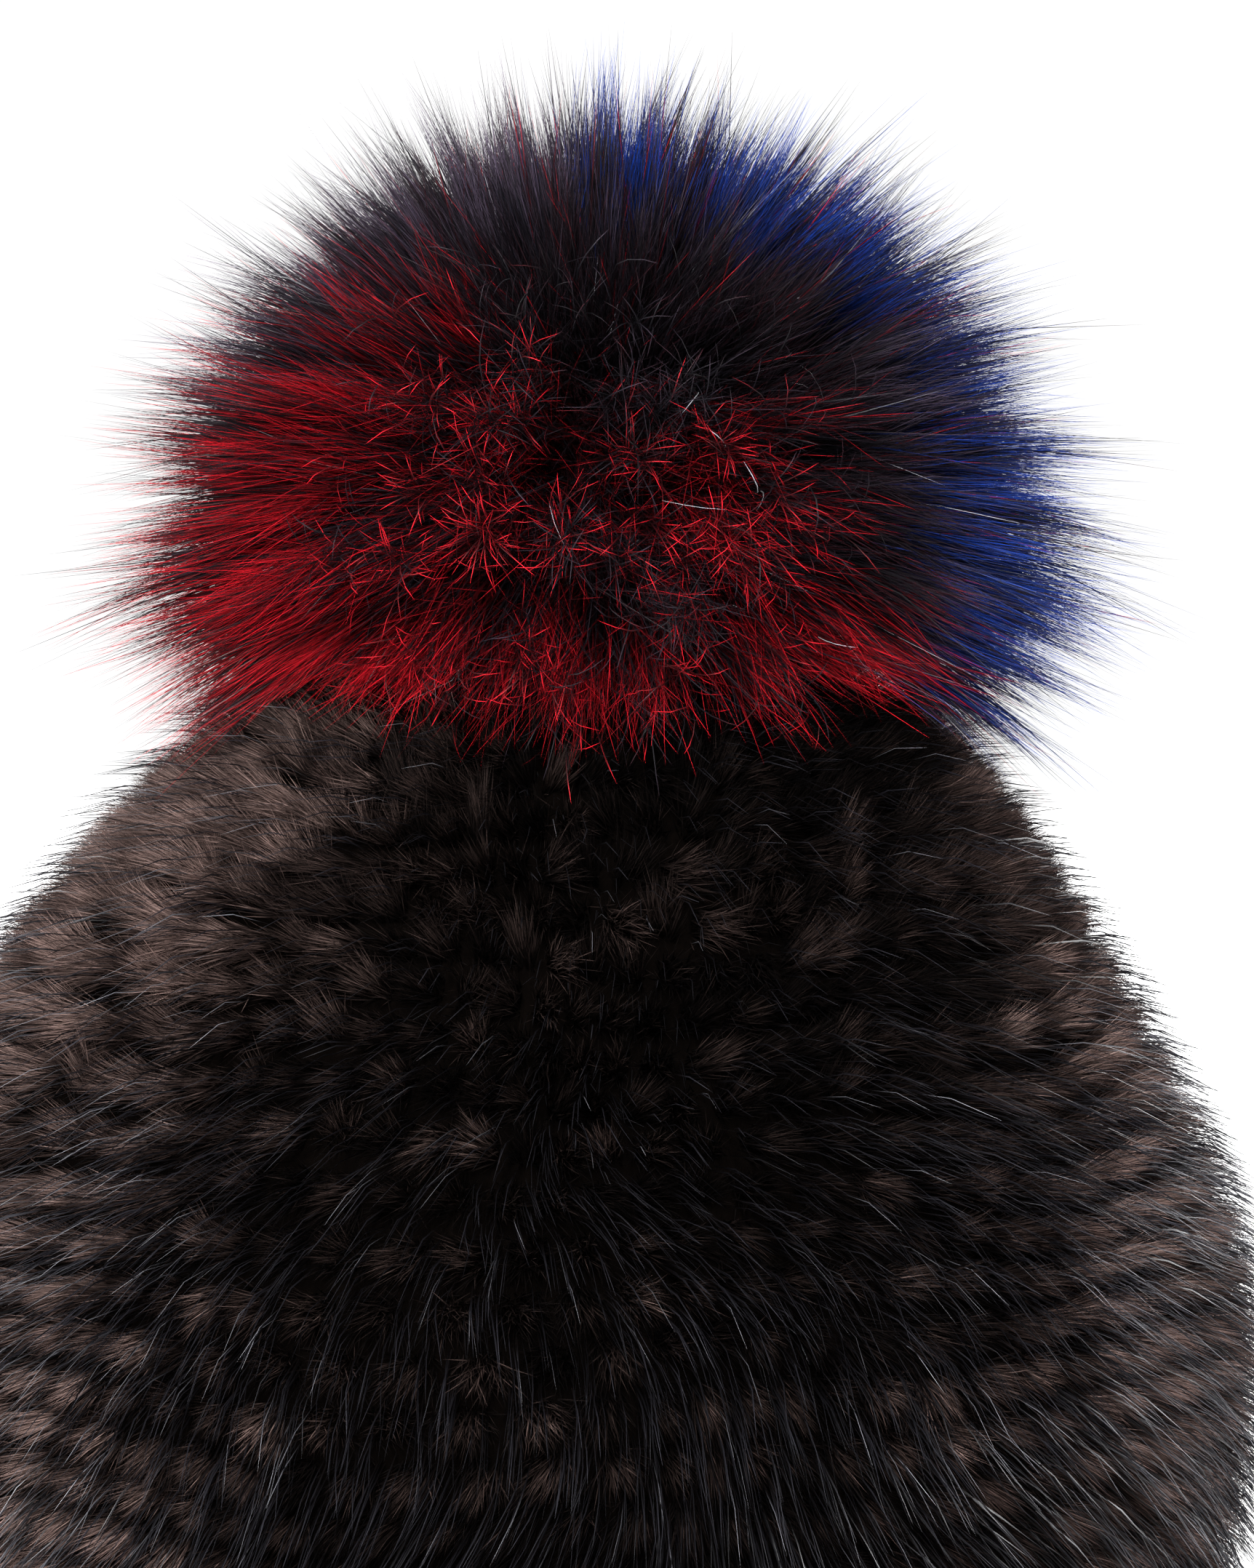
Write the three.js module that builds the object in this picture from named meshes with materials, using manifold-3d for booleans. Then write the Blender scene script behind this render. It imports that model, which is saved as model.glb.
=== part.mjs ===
// Knitted fur hat with a large fur pompom on its crown. Millimetres, +Z up.
// The origin is the centre of the rim, on the surface that the hat rests on.
// The crown leans a little to the +X side of the rim, and the pompom with it.

import * as THREE from 'three';
import { mergeVertices } from 'three/addons/utils/BufferGeometryUtils.js';
import Module from 'manifold-3d';

// Hat body, measured over its fur
const BODY_WIDTH = 220;
const BODY_DEPTH = 225;
const BODY_HEIGHT = 178;
const CROWN_LEAN = 7.5;

// Wall of the body: fur courses over a knitted backing
const FUR_DEPTH = 10;
const BACKING_WALL = 3;
const COURSE_COUNT = 29;
const HEM_LIFT = 3;
const FIT_GAP = 0.3;
const INNER_OFFSET = -FUR_DEPTH - BACKING_WALL;

// Pompom: a ball of fur locks whose hair spreads from a centre just over the crown
const POMPOM_LIFT = 11;
const POMPOM_REACH = 78;
const LOCK_COUNT = 64;
const LOCK_WIDTH = 29;

// Tie that holds the pompom: a stem through the crown with a button inside the hat
const STEM_DIAMETER = 5;
const STEM_HEIGHT = 22;
const STEM_CLEARANCE = 1;
const BUTTON_DIAMETER = 18;
const BUTTON_THICKNESS = 2.5;

// Facets
const BODY_SIDES = 32;
const OUTER_ROWS = 12;
const INNER_ROWS = 6;
const CUTTER_ROWS = 18;
const CURVE_DIVISIONS = 1200;
const LOCK_SIDES = 5;
const LOCK_ROWS = 2;
const HEAD_DETAIL = 2;
const TIE_SIDES = 16;
const WELD = 1e-4;

// Outline of the body from rim to crown. Height is a share of BODY_HEIGHT, width a share of
// BODY_WIDTH, and lean a share of CROWN_LEAN.
const BODY_OUTLINE = [
  { height: 0.0, width: 0.927, lean: 0 },
  { height: 0.16, width: 0.974, lean: 0 },
  { height: 0.31, width: 1.0, lean: 0 },
  { height: 0.43, width: 0.977, lean: 0 },
  { height: 0.552, width: 0.891, lean: 0.03 },
  { height: 0.677, width: 0.771, lean: 0.18 },
  { height: 0.753, width: 0.685, lean: 0.36 },
  { height: 0.826, width: 0.587, lean: 0.57 },
  { height: 0.896, width: 0.466, lean: 0.8 },
  { height: 0.951, width: 0.325, lean: 0.95 },
  { height: 0.987, width: 0.165, lean: 1 },
  { height: 1.0, width: 0.0, lean: 1 },
];

// Section of one course. Along is a share of the course's height, up from its lower edge, and
// depth is a share of FUR_DEPTH, out from the backing.
const COURSE_SECTION = [
  { along: 0.0, depth: 0 },
  { along: 0.18, depth: 1 },
  { along: 0.74, depth: 1 },
  { along: 1.0, depth: 0 },
];

// Reach of the pompom's hair from its centre, as a share of POMPOM_REACH, by its elevation in
// degrees. The hair is shortest at the top, and droops furthest just over the crown.
const POMPOM_OUTLINE = [
  { elevation: -90, reach: 0.6 },
  { elevation: -60, reach: 0.84 },
  { elevation: -40, reach: 0.97 },
  { elevation: -20, reach: 1.0 },
  { elevation: 0, reach: 0.91 },
  { elevation: 18, reach: 0.86 },
  { elevation: 42, reach: 0.78 },
  { elevation: 65, reach: 0.79 },
  { elevation: 90, reach: 0.8 },
];

// Shape of the fur head and of a lock, as shares of the reach at that place or of the lock
const HEAD_SHARE = 0.85;
const ROOT_SHARE = 0.6;
const KNEE_SHARE = 0.86;
const LOCK_FULLNESS = 2.2;
const LOCK_LOWEST = -52;
const TIP_DROOP = 7;
const TIP_SWAY = 5;
const TIP_UNEVENNESS = 0.045;
const STEEPEST_SWAY = 0.3;

const wasm = await Module();
wasm.setup();

// Geometry helpers

function welded(geometry) {
  geometry.deleteAttribute('normal');
  geometry.deleteAttribute('uv');
  const merged = mergeVertices(geometry, WELD);
  const corners = merged.index.array;
  const kept = [];
  for (let i = 0; i < corners.length; i += 3) {
    const [a, b, c] = corners.slice(i, i + 3);
    if (a !== b && b !== c && c !== a) {
      kept.push(a, b, c);
    }
  }
  merged.setIndex(kept);
  return merged;
}

function toSolid(geometry) {
  const mesh = welded(geometry);
  const vertProperties = new Float32Array(mesh.attributes.position.array);
  const triVerts = new Uint32Array(mesh.index.array);
  return new wasm.Manifold(new wasm.Mesh({ numProp: 3, vertProperties, triVerts }));
}

function toGeometry(solid) {
  const mesh = solid.getMesh();
  const geometry = new THREE.BufferGeometry();
  geometry.setAttribute('position', new THREE.BufferAttribute(new Float32Array(mesh.vertProperties), 3));
  geometry.setIndex(new THREE.BufferAttribute(new Uint32Array(mesh.triVerts), 1));
  return geometry;
}

// A profile of { radius, height } turned about +Z
function turned(profile, sides) {
  const points = profile.map((p) => new THREE.Vector2(p.radius, p.height));
  return new THREE.LatheGeometry(points, sides).rotateX(Math.PI / 2);
}

function finish(color, roughness) {
  return new THREE.MeshStandardMaterial({ color, roughness, metalness: 0 });
}

function named(name, geometry, material) {
  const mesh = new THREE.Mesh(geometry, material);
  mesh.name = name;
  return mesh;
}

// The body's meridian runs from the rim over the crown and down again, so that it is level at
// the crown. Only its first half is used.
function bodyMeridian() {
  const rise = BODY_OUTLINE.map((row) => new THREE.Vector3(
    row.width * BODY_WIDTH / 2,
    row.lean * CROWN_LEAN,
    row.height * BODY_HEIGHT,
  ));
  const fall = rise.slice(0, -1).reverse().map((p) => new THREE.Vector3(-p.x, p.y, p.z));
  const curve = new THREE.CatmullRomCurve3([...rise, ...fall], false, 'centripetal');
  curve.arcLengthDivisions = CURVE_DIVISIONS;
  return curve;
}

const meridian = bodyMeridian();
const meridianLength = meridian.getLength();
const slope = meridianLength / 2;
const crownHole = STEM_DIAMETER / 2 + STEM_CLEARANCE;

// A point on the meridian at a distance up from the rim, moved outwards by an offset
function bodyPoint(distance, offset) {
  const share = distance / meridianLength;
  const place = meridian.getPointAt(share);
  const along = meridian.getTangentAt(share);
  const steepness = Math.hypot(along.x, along.z);
  return {
    radius: place.x + offset * along.z / steepness,
    height: place.z - offset * along.x / steepness,
    lean: place.y,
  };
}

// Distance up the meridian where the inner face is as wide as the tie's button
function distanceToButton() {
  let distance = slope - BUTTON_DIAMETER / 2;
  while (bodyPoint(distance, INNER_OFFSET).radius < BUTTON_DIAMETER / 2) {
    distance -= FIT_GAP;
  }
  return distance;
}

const buttonSeat = distanceToButton();

// A profile turned about the body's own section centres: wider in depth, and leaning
function bodyRound(profile) {
  const geometry = turned(profile, BODY_SIDES);
  geometry.scale(1, BODY_DEPTH / BODY_WIDTH, 1);
  const position = geometry.attributes.position;
  for (let i = 0; i < position.count; i++) {
    position.setX(i, position.getX(i) + profile[i % profile.length].lean);
  }
  return welded(geometry);
}

// Knitted backing: a hollow wall with a flat rim and a hole for the tie at the crown
function backingProfile() {
  const top = slope - crownHole;
  const outside = [];
  for (let row = 0; row <= OUTER_ROWS; row++) {
    outside.push(bodyPoint(top * row / OUTER_ROWS, -FUR_DEPTH));
  }
  const inside = [bodyPoint(top, INNER_OFFSET)];
  for (let row = INNER_ROWS; row >= 0; row--) {
    inside.push(bodyPoint(buttonSeat * row / INNER_ROWS, INNER_OFFSET));
  }
  outside[0].height = 0;
  inside[inside.length - 1].height = 0;
  return [...outside, ...inside, outside[0]];
}

// Fur courses, from the rim up
function courseProfile(index) {
  const height = (slope - crownHole - HEM_LIFT) / COURSE_COUNT;
  const low = HEM_LIFT + index * height + FIT_GAP / 2;
  const reach = height - FIT_GAP;
  const section = COURSE_SECTION.map((row) => {
    const depth = FIT_GAP + row.depth * (FUR_DEPTH - FIT_GAP);
    return bodyPoint(low + row.along * reach, depth - FUR_DEPTH);
  });
  return [...section, section[0]];
}

// Everything under the pompom, to cut its underside to the crown
function crownCutter() {
  const profile = [{ radius: 0, height: 0, lean: 0 }];
  for (let row = 0; row < CUTTER_ROWS; row++) {
    profile.push(bodyPoint(slope * row / CUTTER_ROWS, FIT_GAP));
  }
  profile.push({ radius: 0, height: BODY_HEIGHT + FIT_GAP, lean: CROWN_LEAN });
  return toSolid(bodyRound(profile));
}

// Pompom

function reachAt(elevation) {
  const degrees = THREE.MathUtils.radToDeg(elevation);
  const above = POMPOM_OUTLINE.findIndex((row) => row.elevation >= degrees);
  const high = POMPOM_OUTLINE[Math.max(above, 1)];
  const low = POMPOM_OUTLINE[Math.max(above, 1) - 1];
  const share = THREE.MathUtils.smoothstep(degrees, low.elevation, high.elevation);
  return POMPOM_REACH * THREE.MathUtils.lerp(low.reach, high.reach, share);
}

function heading(azimuth, elevation) {
  const level = Math.cos(elevation);
  return new THREE.Vector3(level * Math.cos(azimuth), level * Math.sin(azimuth), Math.sin(elevation));
}

// An even, repeatable scatter between -1 and 1
function scatter(index, salt) {
  const value = Math.sin(index * 12.9898 + salt * 78.233) * 43758.5453;
  return 2 * (value - Math.floor(value)) - 1;
}

function furHead() {
  const geometry = new THREE.IcosahedronGeometry(1, HEAD_DETAIL);
  const position = geometry.attributes.position;
  const point = new THREE.Vector3();
  for (let i = 0; i < position.count; i++) {
    point.fromBufferAttribute(position, i).normalize();
    point.multiplyScalar(HEAD_SHARE * reachAt(Math.asin(point.z)));
    position.setXYZ(i, point.x, point.y, point.z);
  }
  return toSolid(geometry);
}

function furLock(index) {
  const turn = index * Math.PI * (3 - Math.sqrt(5));
  const lowest = Math.sin(THREE.MathUtils.degToRad(LOCK_LOWEST));
  const rise = Math.asin(1 - (1 - lowest) * (index + 0.5) / LOCK_COUNT);
  const droop = THREE.MathUtils.degToRad(TIP_DROOP) * Math.cos(rise);
  const sway = THREE.MathUtils.degToRad(TIP_SWAY) * scatter(index, 1);
  const reach = reachAt(rise - droop) * (1 + TIP_UNEVENNESS * scatter(index, 2));
  const start = heading(turn, rise);
  const end = heading(turn + sway / Math.max(Math.cos(rise), STEEPEST_SWAY), rise - droop + sway / 2);
  const spine = new THREE.QuadraticBezierCurve3(
    start.clone().multiplyScalar(reach * ROOT_SHARE),
    start.clone().multiplyScalar(reach * KNEE_SHARE),
    end.multiplyScalar(reach),
  );
  const geometry = new THREE.ConeGeometry(LOCK_WIDTH / 2, 1, LOCK_SIDES, LOCK_ROWS);
  const upright = new THREE.Vector3(0, 1, 0);
  const aim = new THREE.Quaternion();
  const position = geometry.attributes.position;
  const point = new THREE.Vector3();
  for (let i = 0; i < position.count; i++) {
    point.fromBufferAttribute(position, i);
    const along = THREE.MathUtils.clamp(point.y + 0.5, 0, 1);
    const fuller = along < 1 ? (1 - along ** LOCK_FULLNESS) / (1 - along) : 1;
    point.set(point.x * fuller, 0, point.z * fuller);
    aim.setFromUnitVectors(upright, spine.getTangent(along));
    point.applyQuaternion(aim).add(spine.getPoint(along));
    position.setXYZ(i, point.x, point.y, point.z);
  }
  return toSolid(geometry);
}

const tieCentre = new THREE.Vector3(CROWN_LEAN, 0, BODY_HEIGHT);
const pompomCentre = tieCentre.clone().add(new THREE.Vector3(0, 0, POMPOM_LIFT));

function pompomGeometry() {
  const pieces = [furHead()];
  for (let index = 0; index < LOCK_COUNT; index++) {
    pieces.push(furLock(index));
  }
  const socket = new THREE.CylinderGeometry(
    STEM_DIAMETER / 2 + FIT_GAP,
    STEM_DIAMETER / 2 + FIT_GAP,
    2 * (STEM_HEIGHT + FIT_GAP),
    TIE_SIDES,
  );
  socket.rotateX(Math.PI / 2).translate(0, 0, -POMPOM_LIFT);
  const crown = crownCutter().translate(-pompomCentre.x, -pompomCentre.y, -pompomCentre.z);
  return toGeometry(wasm.Manifold.union(pieces).subtract(crown).subtract(toSolid(socket)));
}

// Tie, from its button inside the crown to the top of its stem
function tieGeometry() {
  const seat = bodyPoint(buttonSeat, INNER_OFFSET);
  const buttonTop = seat.height - FIT_GAP - BODY_HEIGHT;
  const profile = [
    { radius: 0, height: buttonTop - BUTTON_THICKNESS },
    { radius: BUTTON_DIAMETER / 2, height: buttonTop - BUTTON_THICKNESS },
    { radius: BUTTON_DIAMETER / 2, height: buttonTop },
    { radius: STEM_DIAMETER / 2, height: buttonTop },
    { radius: STEM_DIAMETER / 2, height: STEM_HEIGHT },
    { radius: 0, height: STEM_HEIGHT },
  ];
  return welded(turned(profile, TIE_SIDES));
}

const courseFur = finish(0x2c2320, 0.75);
const pompomFur = finish(0x6d1418, 0.7);
const netCloth = finish(0x17120f, 0.95);
const tieCloth = finish(0x101010, 0.8);

const hat = new THREE.Group();

const body = new THREE.Group();
body.add(named('knit_backing', bodyRound(backingProfile()), netCloth));
for (let index = 0; index < COURSE_COUNT; index++) {
  const number = String(index + 1).padStart(2, '0');
  body.add(named(`fur_course_${number}`, bodyRound(courseProfile(index)), courseFur.clone()));
}
hat.add(body);

const pompom = named('pompom', pompomGeometry(), pompomFur);
pompom.position.copy(pompomCentre);
hat.add(pompom);

const tie = named('pompom_tie', tieGeometry(), tieCloth);
tie.position.copy(tieCentre);
hat.add(tie);

export default hat;
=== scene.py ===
"""Visual model of a knitted fur hat with a large dyed fur pompom.

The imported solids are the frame, and every length here is in metres. The body's outline is read
from the solid courses, and each soft piece is built on it: a knitted backing, rows of fur
stitches, and the underfur and guard hair that grow from them. The pompom is a dark fur core
with underfur, long guard hair in clumps and short curled hair, and a tie holds it on.
"""

import logging
import math
from dataclasses import dataclass, field
from enum import Enum

import bmesh
import bpy
import numpy as np
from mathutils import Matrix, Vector


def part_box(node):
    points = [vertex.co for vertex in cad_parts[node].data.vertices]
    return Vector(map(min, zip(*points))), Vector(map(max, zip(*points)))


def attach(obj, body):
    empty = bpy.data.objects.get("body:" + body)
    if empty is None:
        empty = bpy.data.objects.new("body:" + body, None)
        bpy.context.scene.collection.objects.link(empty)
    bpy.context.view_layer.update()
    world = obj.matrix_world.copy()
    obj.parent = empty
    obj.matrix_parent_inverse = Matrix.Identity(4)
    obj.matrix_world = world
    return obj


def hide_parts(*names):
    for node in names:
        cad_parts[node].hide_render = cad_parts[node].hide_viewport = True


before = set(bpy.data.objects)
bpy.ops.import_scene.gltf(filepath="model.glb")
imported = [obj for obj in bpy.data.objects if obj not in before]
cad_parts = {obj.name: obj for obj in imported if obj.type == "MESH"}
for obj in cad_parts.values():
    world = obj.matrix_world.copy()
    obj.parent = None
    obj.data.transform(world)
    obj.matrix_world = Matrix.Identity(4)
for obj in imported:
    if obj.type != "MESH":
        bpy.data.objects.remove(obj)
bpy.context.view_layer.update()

log = logging.getLogger("fur_hat")

BODY = "root"
PALETTE_MAP = "OFBake"
COURSE_NODES = sorted(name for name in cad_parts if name.startswith("fur_course_"))
STITCHES_ROUND = 80
MILLIMETRE = 0.001

Colour = tuple[float, float, float]
Stops = tuple[tuple[float, Colour], ...]
Pair = tuple[float, float]
Waves = tuple[tuple[float, float, float, float], ...]


class Slot(Enum):
    """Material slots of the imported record."""

    NET = "backing_net"
    BODY_FUR = "knitted_fur"
    POMPOM_FUR = "pompom_fur"
    TIE = "tie_cord"


def unit(vectors: np.ndarray) -> np.ndarray:
    """Scale vectors to length one.

    Args:
        vectors: An array whose last axis is x, y and z.

    Returns:
        The vectors, each of length one.
    """
    return vectors / np.maximum(np.linalg.norm(vectors, axis=-1, keepdims=True), 1e-12)


def smooth(value: np.ndarray, low: float, high: float) -> np.ndarray:
    """Rise smoothly from 0 at low to 1 at high.

    Args:
        value: The values to judge.
        low: Where the rise starts.
        high: Where the rise ends.

    Returns:
        A share from 0 to 1 for each value.
    """
    share = np.clip((value - low) / (high - low), 0.0, 1.0)
    return share * share * (3.0 - 2.0 * share)


def waves(turn: np.ndarray, row: np.ndarray, terms: Waves) -> np.ndarray:
    """Add up waves that run round the hat and slant as they climb.

    Args:
        turn: Angles round the hat.
        row: Places up the hat, in courses.
        terms: Each wave's height, its count round the hat, its slant and its start.

    Returns:
        The waves' sum at each place.
    """
    return sum(high * np.sin(count * turn + slant * row + start) for high, count, slant, start in terms)


def changed(pair: Pair, share: np.ndarray) -> np.ndarray:
    """Give the first value of a pair, changed by a share of the second."""
    return pair[0] + pair[1] * share


@dataclass
class BodyForm:
    """Outline of the hat's body over its fur, as read from the solid courses.

    The outline is a row of points up the meridian. Each has its distance from the rim along the
    meridian, the half width and the sideways offset of the body there, and its height.
    """

    distance: np.ndarray
    half_width: np.ndarray
    lean: np.ndarray
    height: np.ndarray
    depth_ratio: float
    fur_depth: float

    SLOPE_STEP = 4 * MILLIMETRE
    HOLLOW_MIDDLE = (0.0, 0.0, 60 * MILLIMETRE)
    PAST_WIDEST = 60 * MILLIMETRE
    ON_PLANE = 1e-5
    DECIMALS = 7

    @classmethod
    def from_courses(cls, names: list[str]) -> "BodyForm":
        """Read the outline from the courses' outer edges in the plane of the front view.

        Args:
            names: The course nodes, from the rim up.

        Returns:
            The outline.
        """
        rows, depths = [], []
        for name in names:
            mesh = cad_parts[name].data
            points = np.zeros(len(mesh.vertices) * 3)
            mesh.vertices.foreach_get("co", points)
            points = points.reshape(-1, 3)
            points = points[np.abs(points[:, 1]) < cls.ON_PLANE]
            points = np.unique(np.round(points, cls.DECIMALS), axis=0)
            middle = points[:, 0].mean()
            right = cls._section(points[points[:, 0] > middle])
            left = cls._section(points[points[:, 0] < middle])
            for k in (1, 2):
                half = (right[k, 0] - left[k, 0]) / 2
                rows.append((half, (right[k, 0] + left[k, 0]) / 2, right[k, 2]))
            depths.append(np.linalg.norm((right[1] + right[2] - right[0] - right[3])[[0, 2]]) / 2)
        half_width, lean, height = np.array(rows).T
        share = height[0] / (height[1] - height[0])
        half_width = np.r_[half_width[0] - share * (half_width[1] - half_width[0]), half_width]
        lean = np.r_[lean[0], lean]
        height = np.r_[0.0, height]
        steps = np.hypot(np.diff(half_width), np.diff(height))
        low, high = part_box(names[0])
        return cls(
            distance=np.r_[0.0, np.cumsum(steps)],
            half_width=half_width,
            lean=lean,
            height=height,
            depth_ratio=(high.y - low.y) / (high.x - low.x),
            fur_depth=float(np.mean(depths)),
        )

    @staticmethod
    def _section(points: np.ndarray) -> np.ndarray:
        """Order the four corners of a course's section.

        Args:
            points: The corners, in any order.

        Returns:
            The inner low, outer low, outer high and inner high corners.
        """
        reach = np.linalg.norm(points - np.array(BodyForm.HOLLOW_MIDDLE), axis=1)
        order = np.argsort(reach)
        inner, outer = points[order[:2]], points[order[2:]]
        inner = inner[np.argsort(inner[:, 2])]
        outer = outer[np.argsort(outer[:, 2])]
        return np.array([inner[0], outer[0], outer[1], inner[1]])

    @property
    def length(self) -> float:
        """Distance up the meridian from the rim to the end of the last course."""
        return float(self.distance[-1])

    def slope(self, distance: np.ndarray) -> tuple[np.ndarray, np.ndarray]:
        """Give the meridian's direction in width and in height.

        Args:
            distance: Distances up the meridian.

        Returns:
            The change of half width and of height per unit of distance.
        """
        low, high = distance - self.SLOPE_STEP, distance + self.SLOPE_STEP
        wide, tall = (
            np.interp(high, self.distance, values) - np.interp(low, self.distance, values)
            for values in (self.half_width, self.height)
        )
        size = np.maximum(np.hypot(wide, tall), 1e-9)
        return wide / size, tall / size

    def point(self, distance: np.ndarray, azimuth: np.ndarray, offset: np.ndarray) -> np.ndarray:
        """Place points on the outline or off it.

        Args:
            distance: Distances up the meridian.
            azimuth: Angles round the hat, from +X.
            offset: Distances out from the outline.

        Returns:
            The points.
        """
        wide, tall = self.slope(distance)
        radius = np.interp(distance, self.distance, self.half_width) + offset * tall
        height = np.interp(distance, self.distance, self.height) - offset * wide
        lean = np.interp(distance, self.distance, self.lean)
        return np.stack(
            [lean + radius * np.cos(azimuth), self.depth_ratio * radius * np.sin(azimuth), height], axis=-1
        )

    def crown_height(self, points: np.ndarray) -> np.ndarray:
        """Give the height of the body's fur under or over each point.

        Args:
            points: Points near the crown.

        Returns:
            The outline's height at each point's distance from the leaning axis.
        """
        radius = np.hypot(points[..., 0] - self.lean[-1], points[..., 1] / self.depth_ratio)
        upper = self.distance > self.PAST_WIDEST
        rising = np.argsort(self.half_width[upper])
        return np.interp(radius, self.half_width[upper][rising], self.height[upper][rising])


@dataclass
class Hairs:
    """Many tapered hairs, each a flat ribbon of its own roll along its spine.

    spine holds each hair's points from root to tip. tone places a hair across the palette and
    band, from 0 to 3, picks how bright it is.
    """

    spine: np.ndarray
    width: np.ndarray
    tone: np.ndarray
    band: np.ndarray

    TAPER = 0.55
    BANDS = 4
    BAND_MARGIN = 0.03
    TONE_MARGIN = 0.015
    TONE_ENDS = (0.01, 0.99)
    RIBBON_ACROSS = 0.004

    def build(self, name: str, generator: np.random.Generator) -> bpy.types.Object:
        """Make the ribbons' mesh, with a palette map that gives tone, band and place along.

        Args:
            name: The piece's name.
            generator: The source of each ribbon's roll.

        Returns:
            The new object.
        """
        count, rows = self.spine.shape[0], self.spine.shape[1] - 1
        along = unit(self.spine[:, -1] - self.spine[:, 0])
        roll = unit(np.cross(along, generator.normal(size=(count, 3))))
        share = np.arange(rows) / rows
        half = 0.5 * self.width[:, None] * (1.0 - self.TAPER * share[None, :] ** 2)
        offset = half[:, :, None] * roll[:, None, :]
        body = self.spine[:, :rows]
        edges = np.stack([body - offset, body + offset], axis=2).reshape(count, 2 * rows, 3)
        points = np.concatenate([edges, self.spine[:, rows:]], axis=1)
        quads = np.array([[2 * i, 2 * i + 1, 2 * i + 3, 2 * i + 2] for i in range(rows - 1)], int)
        loop = np.r_[quads.ravel(), [2 * rows - 2, 2 * rows - 1, 2 * rows]].astype(np.int64)
        stride = 2 * rows + 1
        corners = (loop[None, :] + stride * np.arange(count)[:, None]).ravel()
        starts = np.r_[4 * np.arange(rows - 1), 4 * (rows - 1)].astype(np.int64)
        starts = (starts[None, :] + len(loop) * np.arange(count)[:, None]).ravel()
        sideways = np.r_[np.tile([-1.0, 1.0], rows), 0.0] * self.RIBBON_ACROSS
        upwards = np.r_[np.repeat(share, 2), 1.0] * (1 - 2 * self.BAND_MARGIN) + self.BAND_MARGIN
        tone = np.clip(self.tone, *self.TONE_ENDS)[:, None]
        across = tone * (1 - 2 * self.TONE_MARGIN) + self.TONE_MARGIN + sideways[None, :]
        lengthwise = (self.band[:, None] + upwards[None, :]) / self.BANDS
        places = np.stack([across, lengthwise], axis=-1).reshape(-1, 2)[corners]
        mesh = bpy.data.meshes.new(name)
        mesh.vertices.add(count * stride)
        mesh.vertices.foreach_set("co", points.astype(np.float32).ravel())
        mesh.loops.add(len(corners))
        mesh.loops.foreach_set("vertex_index", corners.astype(np.int32))
        mesh.polygons.add(len(starts))
        mesh.polygons.foreach_set("loop_start", starts.astype(np.int32))
        mesh.update(calc_edges=True)
        layer = mesh.uv_layers.new(name=PALETTE_MAP)
        layer.data.foreach_set("uv", places.astype(np.float32).ravel())
        mesh.polygons.foreach_set("use_smooth", np.ones(len(starts), bool))
        made = bpy.data.objects.new(name, mesh)
        bpy.context.scene.collection.objects.link(made)
        return made


def node(tree: bpy.types.NodeTree, kind: str, **settings: object) -> bpy.types.Node:
    """Add a node with settings.

    Args:
        tree: The node tree.
        kind: The node's type.
        settings: Its properties by name.

    Returns:
        The node.
    """
    made = tree.nodes.new(kind)
    for name, value in settings.items():
        setattr(made, name, value)
    return made


def ramp(tree: bpy.types.NodeTree, stops: Stops) -> bpy.types.Node:
    """Add a colour ramp.

    Args:
        tree: The node tree.
        stops: Each stop's place and colour.

    Returns:
        The ramp node.
    """
    made = tree.nodes.new("ShaderNodeValToRGB")
    elements = made.color_ramp.elements
    while len(elements) < len(stops):
        elements.new(0.5)
    for element, (place, colour) in zip(elements, stops):
        element.position = place
        element.color = (*colour, 1.0)
    return made


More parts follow.
